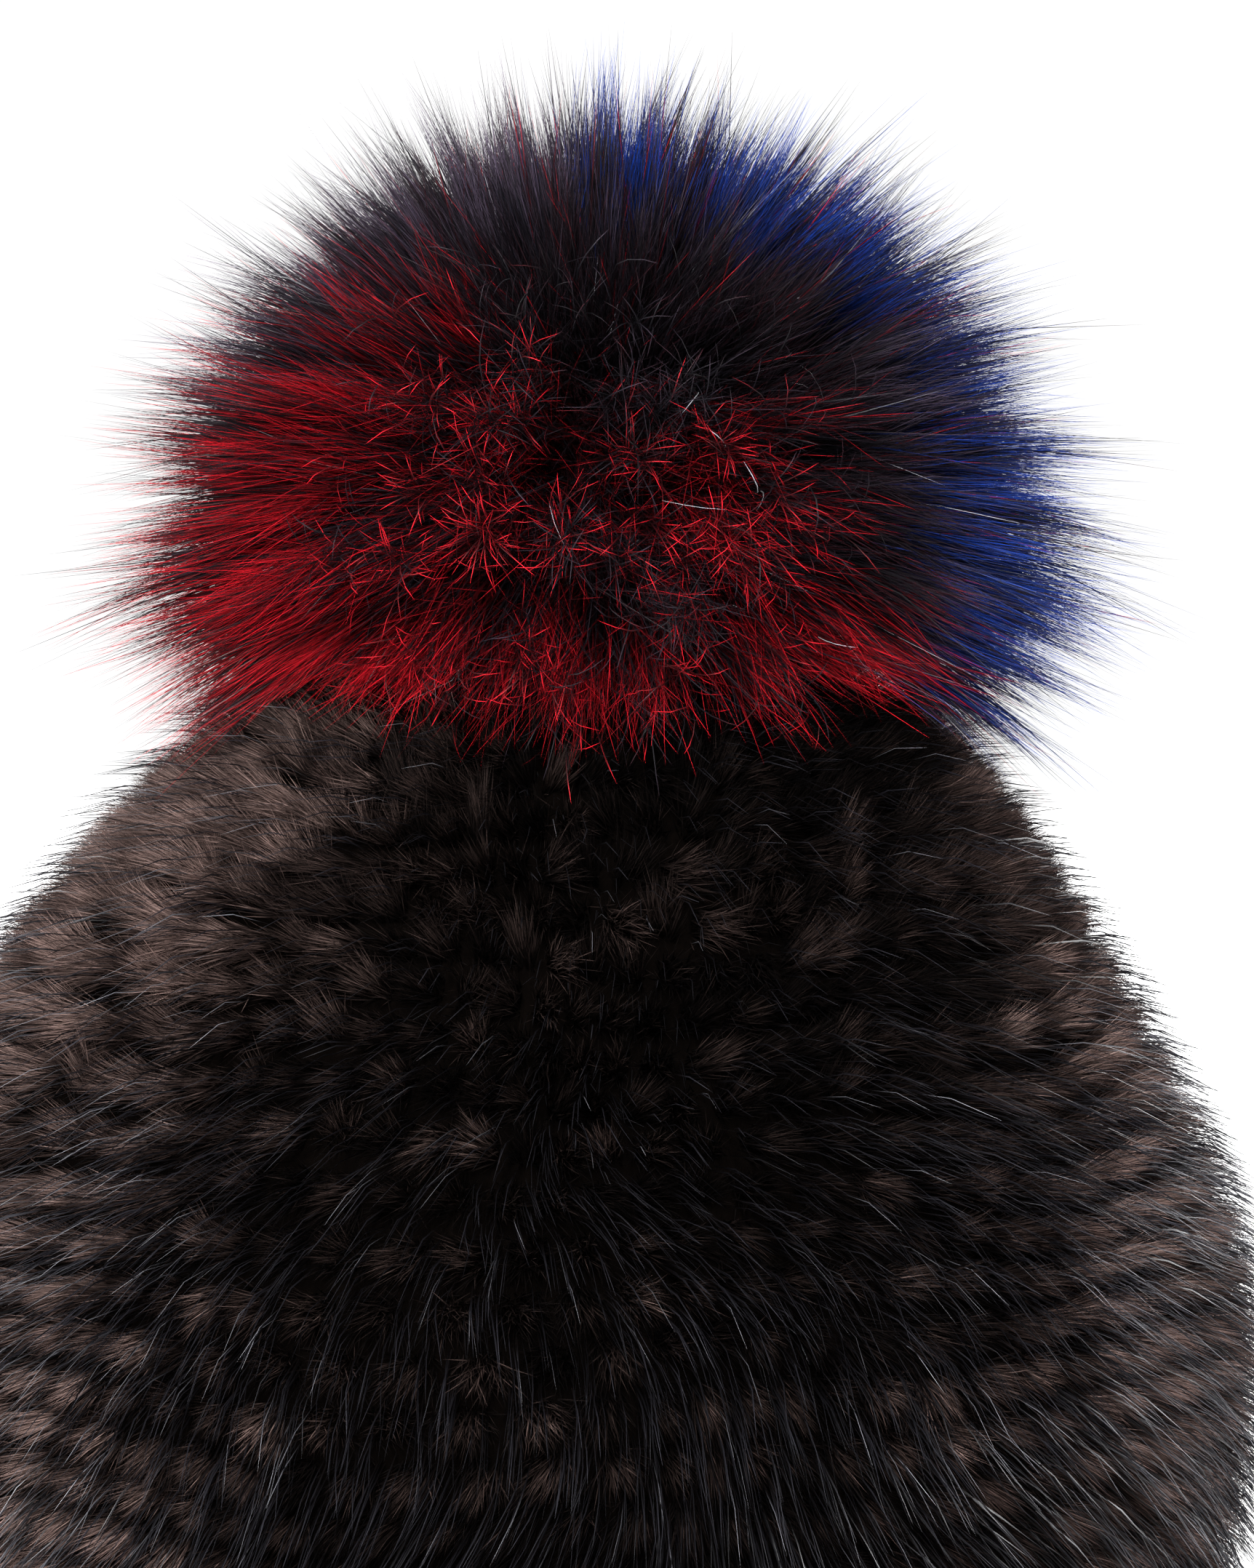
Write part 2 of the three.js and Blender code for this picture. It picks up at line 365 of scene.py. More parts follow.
class SharedGroups:
    """Shader node groups that more than one material uses, each built once."""

    DARKEST, BRIGHTEST = 0.45, 1.6
    # The dark roots and middles are partly the hairs' own colour and partly painted shade deep in the fur.
    ROOT_TO_MIDDLE = (0.1, 0.6)
    MIDDLE_TO_TIP = (0.55, 1.0)
    GRAIN_DETAIL, GRAIN_ROUGHNESS = 5.0, 0.65

    @staticmethod
    def sockets(tree: bpy.types.NodeTree, way: str, kind: str, *names: str) -> None:
        """Add named sockets of one kind to a group.

        Args:
            tree: The group.
            way: INPUT or OUTPUT.
            kind: Color or Float.
            names: The sockets' names.
        """
        for name in names:
            tree.interface.new_socket(name=name, in_out=way, socket_type=f"NodeSocket{kind}")

    @staticmethod
    def hair_places() -> bpy.types.NodeTree:
        """Build or find the group that reads a hair's tone, brightness and place along it.

        Returns:
            The group, with outputs Tone, Along and Brightness.
        """
        known = bpy.data.node_groups.get("hair_places")
        if known:
            return known
        tree = bpy.data.node_groups.new("hair_places", "ShaderNodeTree")
        SharedGroups.sockets(tree, "OUTPUT", "Float", "Tone", "Along", "Brightness")
        palette = node(tree, "ShaderNodeUVMap", uv_map=PALETTE_MAP)
        split = node(tree, "ShaderNodeSeparateXYZ")
        tree.links.new(palette.outputs["UV"], split.inputs[0])
        bands = node(tree, "ShaderNodeMath", operation="MULTIPLY")
        bands.inputs[1].default_value = Hairs.BANDS
        tree.links.new(split.outputs["Y"], bands.inputs[0])
        along = node(tree, "ShaderNodeMath", operation="FRACT")
        tree.links.new(bands.outputs[0], along.inputs[0])
        band = node(tree, "ShaderNodeMath", operation="FLOOR")
        tree.links.new(bands.outputs[0], band.inputs[0])
        bright = node(tree, "ShaderNodeMapRange")
        bright.inputs["From Max"].default_value = Hairs.BANDS - 1
        bright.inputs["To Min"].default_value = SharedGroups.DARKEST
        bright.inputs["To Max"].default_value = SharedGroups.BRIGHTEST
        tree.links.new(band.outputs[0], bright.inputs["Value"])
        out = node(tree, "NodeGroupOutput")
        tree.links.new(split.outputs["X"], out.inputs["Tone"])
        tree.links.new(along.outputs[0], out.inputs["Along"])
        tree.links.new(bright.outputs[0], out.inputs["Brightness"])
        return tree

    @staticmethod
    def hair_colour() -> bpy.types.NodeTree:
        """Build or find the group that blends a hair's root, middle and tip colours, whose dark roots and
        middles are partly the hairs' own colour and partly painted shade deep in the fur.

        Returns:
            The group, with inputs Root, Middle, Tip, Along and Brightness and output Color.
        """
        known = bpy.data.node_groups.get("hair_colour")
        if known:
            return known
        tree = bpy.data.node_groups.new("hair_colour", "ShaderNodeTree")
        SharedGroups.sockets(tree, "INPUT", "Color", "Root", "Middle", "Tip")
        SharedGroups.sockets(tree, "INPUT", "Float", "Along", "Brightness")
        SharedGroups.sockets(tree, "OUTPUT", "Color", "Color")
        source = node(tree, "NodeGroupInput")
        lower = node(tree, "ShaderNodeMapRange", interpolation_type="SMOOTHSTEP")
        upper = node(tree, "ShaderNodeMapRange", interpolation_type="SMOOTHSTEP")
        for rise, ends in ((lower, SharedGroups.ROOT_TO_MIDDLE), (upper, SharedGroups.MIDDLE_TO_TIP)):
            rise.inputs["From Min"].default_value = ends[0]
            rise.inputs["From Max"].default_value = ends[1]
        first = node(tree, "ShaderNodeMix", data_type="RGBA")
        second = node(tree, "ShaderNodeMix", data_type="RGBA")
        scale = node(tree, "ShaderNodeVectorMath", operation="SCALE")
        out = node(tree, "NodeGroupOutput")
        links = tree.links
        links.new(source.outputs["Along"], lower.inputs["Value"])
        links.new(source.outputs["Along"], upper.inputs["Value"])
        links.new(lower.outputs[0], first.inputs["Factor"])
        links.new(source.outputs["Root"], first.inputs["A"])
        links.new(source.outputs["Middle"], first.inputs["B"])
        links.new(upper.outputs[0], second.inputs["Factor"])
        links.new(first.outputs["Result"], second.inputs["A"])
        links.new(source.outputs["Tip"], second.inputs["B"])
        links.new(second.outputs["Result"], scale.inputs[0])
        links.new(source.outputs["Brightness"], scale.inputs["Scale"])
        links.new(scale.outputs[0], out.inputs["Color"])
        return tree

    @staticmethod
    def fibre_grain() -> bpy.types.NodeTree:
        """Build or find the group that mottles a colour and gives a fibrous height.

        Returns:
            The group, with inputs Color, Dark, Scale and Stretch and outputs Color and Height.
        """
        known = bpy.data.node_groups.get("fibre_grain")
        if known:
            return known
        tree = bpy.data.node_groups.new("fibre_grain", "ShaderNodeTree")
        SharedGroups.sockets(tree, "INPUT", "Color", "Color", "Dark")
        SharedGroups.sockets(tree, "INPUT", "Float", "Scale", "Stretch")
        SharedGroups.sockets(tree, "OUTPUT", "Color", "Color")
        SharedGroups.sockets(tree, "OUTPUT", "Float", "Height")
        source = node(tree, "NodeGroupInput")
        place = node(tree, "ShaderNodeTexCoord")
        stretch = node(tree, "ShaderNodeCombineXYZ")
        stretch.inputs["X"].default_value = 1.0
        stretch.inputs["Y"].default_value = 1.0
        spread = node(tree, "ShaderNodeVectorMath", operation="MULTIPLY")
        noise = node(tree, "ShaderNodeTexNoise")
        noise.inputs["Detail"].default_value = SharedGroups.GRAIN_DETAIL
        noise.inputs["Roughness"].default_value = SharedGroups.GRAIN_ROUGHNESS
        mix = node(tree, "ShaderNodeMix", data_type="RGBA")
        out = node(tree, "NodeGroupOutput")
        links = tree.links
        links.new(source.outputs["Stretch"], stretch.inputs["Z"])
        links.new(place.outputs["Object"], spread.inputs[0])
        links.new(stretch.outputs[0], spread.inputs[1])
        links.new(spread.outputs[0], noise.inputs["Vector"])
        links.new(source.outputs["Scale"], noise.inputs["Scale"])
        links.new(noise.outputs["Fac"], mix.inputs["Factor"])
        links.new(source.outputs["Dark"], mix.inputs["A"])
        links.new(source.outputs["Color"], mix.inputs["B"])
        links.new(mix.outputs["Result"], out.inputs["Color"])
        links.new(noise.outputs["Fac"], out.inputs["Height"])
        return tree


@dataclass(frozen=True)
class HairFinish:
    """A finish for hairs: colours across the palette at the root, the middle and the tip."""

    name: str
    root: Stops
    middle: Stops
    tip: Stops
    roughness: float
    specular: float

    def material(self) -> bpy.types.Material:
        """Build the material.

        Returns:
            The new material.
        """
        made = bpy.data.materials.new(self.name)
        made.use_nodes = True
        tree = made.node_tree
        shader = tree.nodes["Principled BSDF"]
        places = node(tree, "ShaderNodeGroup", node_tree=SharedGroups.hair_places())
        blend = node(tree, "ShaderNodeGroup", node_tree=SharedGroups.hair_colour())
        for name, stops in (("Root", self.root), ("Middle", self.middle), ("Tip", self.tip)):
            colours = ramp(tree, stops)
            tree.links.new(places.outputs["Tone"], colours.inputs["Fac"])
            tree.links.new(colours.outputs["Color"], blend.inputs[name])
        tree.links.new(places.outputs["Along"], blend.inputs["Along"])
        tree.links.new(places.outputs["Brightness"], blend.inputs["Brightness"])
        tree.links.new(blend.outputs["Color"], shader.inputs["Base Color"])
        shader.inputs["Roughness"].default_value = self.roughness
        shader.inputs["Specular IOR Level"].default_value = self.specular
        return made


@dataclass(frozen=True)
class ClothFinish:
    """A matt fibrous finish for the backing, the fur's skin and the tie."""

    name: str
    light: Colour
    dark: Colour
    scale: float
    stretch: float
    bump: float
    roughness: float
    specular: float = 0.08

    BUMP_HEIGHT = 0.5 * MILLIMETRE

    def material(self) -> bpy.types.Material:
        """Build the material.

        Returns:
            The new material.
        """
        made = bpy.data.materials.new(self.name)
        made.use_nodes = True
        tree = made.node_tree
        shader = tree.nodes["Principled BSDF"]
        grain = node(tree, "ShaderNodeGroup", node_tree=SharedGroups.fibre_grain())
        grain.inputs["Color"].default_value = (*self.light, 1.0)
        grain.inputs["Dark"].default_value = (*self.dark, 1.0)
        grain.inputs["Scale"].default_value = self.scale
        grain.inputs["Stretch"].default_value = self.stretch
        bump = node(tree, "ShaderNodeBump")
        bump.inputs["Strength"].default_value = self.bump
        bump.inputs["Distance"].default_value = self.BUMP_HEIGHT
        tree.links.new(grain.outputs["Color"], shader.inputs["Base Color"])
        tree.links.new(grain.outputs["Height"], bump.inputs["Height"])
        tree.links.new(bump.outputs["Normal"], shader.inputs["Normal"])
        shader.inputs["Roughness"].default_value = self.roughness
        shader.inputs["Specular IOR Level"].default_value = self.specular
        return made


# Brown underfur: its tips are painted darker than its middles, as painted shade where the fur is seen end-on.
BODY_UNDERFUR = HairFinish(
    name="brown_underfur",
    root=((0.0, (0.0015, 0.001, 0.001)), (1.0, (0.012, 0.008, 0.007))),
    middle=((0.0, (0.0015, 0.0012, 0.0012)), (0.5, (0.064, 0.042, 0.037)), (1.0, (0.34, 0.233, 0.206))),
    tip=((0.0, (0.0025, 0.002, 0.002)), (0.5, (0.035, 0.023, 0.021)), (1.0, (0.26, 0.176, 0.157))),
    roughness=0.75,
    specular=0.05,
)
# Dark guard hair: its lighter blue-grey tips are partly painted sheen, and its light end holds the silver
# tone, which also serves as painted glints.
BODY_GUARD = HairFinish(
    name="dark_guard_hair",
    root=((0.0, (0.002, 0.0015, 0.0015)), (1.0, (0.004, 0.003, 0.003))),
    middle=((0.0, (0.003, 0.0025, 0.003)), (0.7, (0.013, 0.0125, 0.016)), (1.0, (0.16, 0.16, 0.18))),
    tip=((0.0, (0.006, 0.005, 0.006)), (0.7, (0.05, 0.049, 0.06)), (1.0, (0.58, 0.58, 0.63))),
    roughness=0.3,
    specular=0.3,
)
# The last tone is silver hair, scattered to stand in as painted glints.
RED, BLACK, GREY_TIP, BLUE_TIP, BLUE, SILVER_GLINT = 0.1, 0.36, 0.5, 0.64, 0.85, 1.0
POMPOM_ROOT: Stops = (
    (RED, (0.003, 0.001, 0.0015)), (BLACK, (0.003, 0.003, 0.004)), (GREY_TIP, (0.003, 0.003, 0.005)),
    (BLUE_TIP, (0.003, 0.003, 0.006)), (BLUE, (0.003, 0.004, 0.015)), (SILVER_GLINT, (0.2, 0.2, 0.2)),
)
POMPOM_MIDDLE: Stops = (
    (RED, (0.042, 0.0012, 0.0025)), (BLACK, (0.006, 0.005, 0.007)), (GREY_TIP, (0.008, 0.008, 0.012)),
    (BLUE_TIP, (0.005, 0.006, 0.014)), (BLUE, (0.003, 0.011, 0.07)), (SILVER_GLINT, (0.4, 0.4, 0.42)),
)
POMPOM_TIP: Stops = (
    (RED, (0.92, 0.014, 0.03)), (BLACK, (0.02, 0.013, 0.018)), (GREY_TIP, (0.15, 0.11, 0.175)),
    (BLUE_TIP, (0.018, 0.014, 0.045)), (BLUE, (0.01, 0.07, 0.5)), (SILVER_GLINT, (0.65, 0.65, 0.68)),
)
POMPOM_SOFT_TIP: Stops = (
    (RED, (0.4, 0.006, 0.012)), (BLACK, (0.014, 0.009, 0.013)), (GREY_TIP, (0.085, 0.062, 0.09)),
    (BLUE_TIP, (0.012, 0.01, 0.03)), (BLUE, (0.007, 0.05, 0.38)), (SILVER_GLINT, (0.5, 0.5, 0.52)),
)
POMPOM_UNDERFUR = HairFinish(
    "dyed_underfur", POMPOM_ROOT, POMPOM_MIDDLE, POMPOM_SOFT_TIP, roughness=0.6, specular=0.15
)
POMPOM_GUARD = HairFinish(
    "dyed_guard_hair", POMPOM_ROOT, POMPOM_MIDDLE, POMPOM_TIP, roughness=0.36, specular=0.5
)
POMPOM_CURL = HairFinish(
    "dyed_curled_hair", POMPOM_ROOT, POMPOM_MIDDLE, POMPOM_TIP, roughness=0.5, specular=0.12
)
FUR_SKIN = ClothFinish(
    name="dark_fur_skin",
    light=(0.0035, 0.0025, 0.002),
    dark=(0.001, 0.0008, 0.0008),
    scale=900,
    stretch=0.3,
    bump=0.9,
    roughness=1.0,
    specular=0.0,
)
NET_CLOTH = ClothFinish(
    name="knitted_net",
    light=(0.075, 0.06, 0.054),
    dark=(0.018, 0.014, 0.012),
    scale=1400,
    stretch=1.0,
    bump=0.8,
    roughness=0.85,
)
CORE_FUR = ClothFinish(
    name="pompom_core_fur",
    light=(0.03, 0.004, 0.006),
    dark=(0.003, 0.002, 0.003),
    scale=700,
    stretch=1.0,
    bump=0.9,
    roughness=0.9,
)
TIE_CORD = ClothFinish(
    name="tie_cord",
    light=(0.02, 0.02, 0.021),
    dark=(0.008, 0.008, 0.009),
    scale=1200,
    stretch=1.0,
    bump=0.4,
    roughness=0.6,
)


def start_clean() -> None:
    """Deselect everything in object mode, so that an operator acts on the next piece alone."""
    if bpy.context.object and bpy.context.object.mode != "OBJECT":
        bpy.ops.object.mode_set(mode="OBJECT")
    bpy.ops.object.select_all(action="DESELECT")


def settle(piece: bpy.types.Object, finish: bpy.types.Material) -> bpy.types.Object:
    """Give a piece its material and its body.

    Args:
        piece: The finished piece.
        finish: The material.

    Returns:
        The piece.
    """
    piece.data.materials.clear()
    piece.data.materials.append(finish)
    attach(piece, BODY)
    log.info("%s: %d faces", piece.name, len(piece.data.polygons))
    return piece


def keep_above(piece: bpy.types.Object, height: float) -> None:
    """Lift a piece's points that lie under a height up to it."""
    for vertex in piece.data.vertices:
        vertex.co.z = max(vertex.co.z, height)


@dataclass
class StitchedShell:
    """A shell of knitted stitches, extruded ring by ring up the body's outline."""

    form: BodyForm
    name: str
    offset: float
    relief: float
    inset: float = 0.18
    hem_width: float = 0.0
    hem_height: float = 0.0

    def build(self) -> bpy.types.Object:
        """Extrude the rings, then inset and raise each stitch.

        Returns:
            The shell, open below, with one raised stitch for each course and wale.
        """
        rows = len(COURSE_NODES)
        places = np.linspace(0.0, self.form.length, rows + 1)
        right = self.form.point(places, np.zeros(rows + 1), np.full(rows + 1, self.offset))
        lean = np.interp(places, self.form.distance, self.form.lean)
        radius = right[:, 0] - lean
        height = np.maximum(right[:, 2], self.hem_height)
        height[0] = self.hem_height
        first = radius[0] - self.hem_width
        start_clean()
        bpy.ops.mesh.primitive_circle_add(
            vertices=STITCHES_ROUND, radius=first, fill_type="NOTHING", location=(lean[0], 0, height[0])
        )
        made = bpy.context.object
        made.name = made.data.name = self.name
        bpy.ops.object.transform_apply(location=True, rotation=True, scale=True)
        bpy.ops.object.mode_set(mode="EDIT")
        bpy.ops.mesh.select_all(action="SELECT")
        bpy.ops.transform.resize(value=(1, self.form.depth_ratio, 1), center_override=(lean[0], 0, height[0]))
        if self.hem_width:
            share = radius[0] / first
            bpy.ops.mesh.extrude_region_move(TRANSFORM_OT_translate={"value": (0, 0, 0)})
            bpy.ops.transform.resize(value=(share, share, 1), center_override=(lean[0], 0, height[0]))
        for i in range(1, rows + 1):
            move = (lean[i] - lean[i - 1], 0, height[i] - height[i - 1])
            bpy.ops.mesh.extrude_region_move(TRANSFORM_OT_translate={"value": move})
            share = radius[i] / radius[i - 1]
            bpy.ops.transform.resize(value=(share, share, 1), center_override=(lean[i], 0, height[i]))
        bpy.ops.mesh.extrude_region_move(TRANSFORM_OT_translate={"value": (0, 0, 0)})
        bpy.ops.mesh.merge(type="CENTER")
        bpy.ops.mesh.select_all(action="SELECT")
        bpy.ops.mesh.normals_make_consistent(inside=False)
        bpy.ops.mesh.inset(thickness=self.inset, depth=0.0, use_individual=True, use_relative_offset=True)
        bpy.ops.transform.shrink_fatten(value=self.relief)
        bpy.ops.object.mode_set(mode="OBJECT")
        bpy.ops.object.shade_smooth()
        return made


@dataclass(frozen=True)
class Pelt:
    """How light the pelt is over the stitches: darker down the front and the back, as painted shade.

    Lightness and its changes are shares from 0 to 1, turns are in radians, and a pair of courses
    gives where a change starts and where it is whole.
    """

    base: float = 0.62
    # Painted shade: the flanks lighter and the front and the back darker.
    painted_shade: float = 0.28
    painted_shade_edges: Pair = (0.55, 0.97)
    painted_shade_turn: float = 0.06
    crown_turn: float = 0.24
    crown_wider: float = 0.1
    # Painted light and shade: the crown lighter on the left and darker on the right.
    crown_side_shade: float = 0.32
    crown_darker: float = 0.17
    # Painted shadow of the pompom on the crown under it.
    pompom_shade: float = 0.23
    # Painted shade: the low front and back darker, and the lower courses darker on the right.
    low_front_shade: float = 0.11
    low_right_shade: float = 0.03
    patchy: float = 0.05
    uneven: float = 0.15
    ends: Pair = (0.03, 0.98)
    crown: Pair = (9.0, 19.0)
    under_pompom: Pair = (19.0, 23.0)
    low: Pair = (3.0, 9.0)

    PATCHES = ((1.0, 3, 0.35, 0.0), (1.0, 5, -0.22, 1.3))

    def lightness(self, rows: int, generator: np.random.Generator) -> np.ndarray:
        """Give each stitch how light it is.

        Args:
            rows: The number of courses.
            generator: The source of each stitch's own change.

        Returns:
            A share from 0 to 1 for each course and wale.
        """
        course, wale = np.mgrid[0:rows, 0:STITCHES_ROUND]
        turn = 2 * np.pi * wale / STITCHES_ROUND
        upper = smooth(course, *self.crown)
        # Painted shade: the flanks lighter and the front and the back darker, turned a little at the crown.
        facing = np.abs(np.sin(turn - self.painted_shade_turn - self.crown_turn * upper))
        inner, outer = self.painted_shade_edges
        painted_shade = 1 - 2 * smooth(facing, inner - self.crown_wider * upper, outer)
        # Painted light and shade: the crown lighter on the left and darker on the right.
        painted_shade -= self.crown_side_shade * np.cos(turn) * upper
        light = self.base - self.crown_darker * upper
        # Painted shadow of the pompom on the crown under it.
        light -= self.pompom_shade * smooth(course, *self.under_pompom)
        light += self.painted_shade * painted_shade
        # Painted shade: the low front and back darker, and the lower courses darker on the right.
        light -= self.low_front_shade * smooth(-painted_shade, 0.0, 1.0) * (1 - smooth(course, *self.low))
        light -= self.low_right_shade * np.cos(turn) * (1 - upper)
        # The patches and each stitch's own change are the pelt's own uneven tone.
        light += self.patchy * waves(turn, course, self.PATCHES)
        return np.clip(light + self.uneven * generator.normal(size=light.shape), *self.ends)


@dataclass(frozen=True)
class Tuft:
    """A stitch's tuft of underfur.

    Places are shares of a stitch, heights are shares of the fur's depth, and widths are in
    millimetres. A pair that is read by changed holds a value and what the crown or chance adds
    to it. The crown's own pair gives the courses where the change starts and where it is whole.
    """

    crown: Pair = (11.0, 19.0)
    lean: Pair = (0.12, 0.14)
    # How much shorter the hair is towards the tuft's edge, and how much darker it is painted there as shade.
    gap: Pair = (0.64, -0.38)
    stray: Pair = (0.13, 0.08)
    squareness: float = 2.2
    root_spread: Pair = (0.7, 0.65)
    root_depth: float = -0.84
    tip_spread: Pair = (0.94, 0.92)
    combed: float = 0.1
    droop: float = 0.28
    lower: float = 0.06
    lower_ends: Pair = (-1, 1.5)
    shorter: float = 0.2
    width: Pair = (0.17, 0.14)
    uneven_tone: float = 0.1
    bands: tuple[float, ...] = (0.25, 0.35, 0.27, 0.13)


@dataclass(frozen=True)
class Guard:
    """The guard hair of a stitch, in the same measures as its tuft.

    A pair that is read by changed holds a value and what chance or a light stitch adds to it.
    """

    thinned: Pair = (11.0, 17.0)
    thinned_by: float = 0.6
    across: Pair = (0.5, 0.2)
    root_depth: float = -0.7
    length: Pair = (0.8, 0.6)
    lift: Pair = (0.08, 0.36)
    stray: float = 0.06
    lean: float = 0.13
    combed: float = 0.3
    middle: Pair = (0.4, 0.42)
    middle_lift: float = 0.35
    middle_depth: float = 0.2
    # Silver hairs: a few of the pelt's own, and more where the pelt is painted lighter, as painted glints.
    silver_and_glint: Pair = (0.01, 0.28)
    silver_width: float = 0.12
    silver_tone: Pair = (0.85, 0.15)
    width: Pair = (0.13, 0.13)
    # The tone's base, and what the stitch's painted lightness and chance add to it.
    tone: tuple[float, float, float] = (0.1, 0.44, 0.38)
    bands: tuple[float, ...] = (0.3, 0.35, 0.25, 0.1)


@dataclass
class HatBody:
    """The body: its knitted backing, its fur stitches, and the hair that grows from them."""

    form: BodyForm
    seed: int = 7
    wall: float = 3 * MILLIMETRE
    net_share: float = 0.85
    net_relief: float = -0.9 * MILLIMETRE
    skin_offset: float = -8.8 * MILLIMETRE
    skin_relief: float = 1.2 * MILLIMETRE
    skin_inset: float = 0.22
    skin_hem: float = 2.5 * MILLIMETRE
    pelt: Pelt = Pelt()
    tuft: Tuft = Tuft()
    guard: Guard = Guard()
    underfur_per_mm2: float = 4.1
    guard_per_mm2: float = 0.34
    hidden_radius: float = 48 * MILLIMETRE
    hidden_share: float = 0.3
    overhang: float = 0.2
    hem: float = 0.6 * MILLIMETRE
    stagger: float = 0.35
    combed_less: float = 0.6
    pitch: float = field(init=False)
    generator: np.random.Generator = field(init=False)

    BANDS = (("hem", 0, 7), ("middle", 7, 14), ("crown", 14, 29))
    DRIFT = ((1.0, 3, 0.5, 0.0), (0.7, 7, -0.4, 2.0))
    DRIFT_ROWS = 0.24
    DRIFT_FREE = 3
    SLIDE = ((1.0, 4, -0.7, 1.0), (0.8, 9, 0.3, 0.0))
    SLIDE_TURN = 0.028
    COMBED_UPPER = (14.0, 22.0)

    def __post_init__(self) -> None:
        """Start the body's own repeatable random source."""
        self.generator = np.random.default_rng(self.seed)
        self.pitch = self.form.length / len(COURSE_NODES)

    def build(self) -> None:
        """Make every piece of the body."""
        self.backing()
        self.stitches()
        self.hair()

    def backing(self) -> bpy.types.Object:
        """Make the knitted net inside, with its wall's thickness turned outwards.

        Returns:
            The backing.
        """
        offset = -self.form.fur_depth - self.wall
        made = StitchedShell(self.form, "knitted_backing", offset, self.net_relief).build()
        thick = made.modifiers.new("wall", "SOLIDIFY")
        thick.thickness = self.wall * self.net_share
        thick.offset = 1.0
        bpy.ops.object.modifier_apply(modifier=thick.name)
        keep_above(made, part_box("knit_backing")[0].z)
        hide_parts("knit_backing")
        return settle(made, NET_CLOTH.material())

    def stitches(self) -> bpy.types.Object:
        """Make the raised skin of the fur stitches, which the hair hides.

        Returns:
            The skin.
        """
        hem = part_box(COURSE_NODES[0])[0].z
        skin = StitchedShell(
            self.form,
            "fur_stitches",
            self.skin_offset,
            self.skin_relief,
            inset=self.skin_inset,
            hem_width=self.skin_hem,
            hem_height=hem,
        ).build()
        keep_above(skin, hem)
        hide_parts(*COURSE_NODES)
        return settle(skin, FUR_SKIN.material())

    def hair(self) -> None:
        """Grow the underfur and the guard hair, in pieces of a few courses each."""
        rows = len(COURSE_NODES)
        # The lightness holds the pelt's painted shade, and the hairs' tones follow it.
        light = self.pelt.lightness(rows, self.generator)
        sway = self.generator.normal(size=(rows, STITCHES_ROUND, 2))
        soft, glossy = BODY_UNDERFUR.material(), BODY_GUARD.material()
        for kind, first, last in self.BANDS:
            full = np.full(rows, self.underfur_per_mm2)
            hairs = self.underfur(self.scatter(first, last, full), light, sway)
            piece = hairs.build(f"{kind}_underfur", self.generator)
            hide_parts(*COURSE_NODES[first:last])
            settle(piece, soft)
        thinned = self.guard.thinned_by * smooth(np.arange(rows), *self.guard.thinned)
        sparse = self.guard_per_mm2 * (1 - thinned)
        hairs = self.guard_hair(self.scatter(0, rows, sparse), light, sway)
        piece = hairs.build("body_guard_hair", self.generator)
        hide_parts(*COURSE_NODES)
        settle(piece, glossy)

    def scatter(self, first: int, last: int, per_mm2: np.ndarray) -> np.ndarray:
        """Scatter hairs over the courses by area, with fewer where the pompom hides them.

        Args:
            first: The first course.
            last: One past the last course.
            per_mm2: Each course's hairs for each square millimetre.

        Returns:
            Each hair's course and wale, in two columns.
        """
        cells = []
        for course in range(first, last):
            radius = np.interp((course + 0.5) * self.pitch, self.form.distance, self.form.half_width)
            hidden = self.hidden_share if radius < self.hidden_radius else 1.0
            area = 2 * np.pi * radius * self.pitch / MILLIMETRE**2
            wales = self.generator.integers(0, STITCHES_ROUND, int(area * per_mm2[course] * hidden))
            cells.append(np.stack([np.full(len(wales), course), wales], axis=-1))
        return np.concatenate(cells)

    def place(
        self, cell: np.ndarray, across: np.ndarray, along: np.ndarray, offset: np.ndarray
    ) -> np.ndarray:
        """Place points by their stitch and their place in it.

        Args:
            cell: Each point's course and wale.
            across: Its place across the stitch, from -0.5 to 0.5.
            along: Its place up the stitch, from -0.5 to 0.5.
            offset: Its distance out from the body's outline.

        Returns:
            The points.
        """
        row = cell[:, 0] + 0.5 + along
        turn = 2 * np.pi * (cell[:, 1] + 0.5 + self.stagger * (cell[:, 0] % 2) + across) / STITCHES_ROUND
        drift = self.DRIFT_ROWS * waves(turn, row, self.DRIFT) * np.clip(row / self.DRIFT_FREE, 0, 1)
        slide = self.SLIDE_TURN * waves(turn, row, self.SLIDE)
        return self.form.point((row + drift) * self.pitch, turn + slide, offset)

    def above_hem(self, *rows: np.ndarray) -> np.ndarray:
        """Lift points under the hem up to it, and join each hair's points.

        Args:
            rows: The hairs' points, one array for each place from root to tip.

        Returns:
            Each hair's points from root to tip.
        """
        spine = np.stack(rows, axis=1)
        spine[:, :, 2] = np.maximum(spine[:, :, 2], self.hem)
        return spine

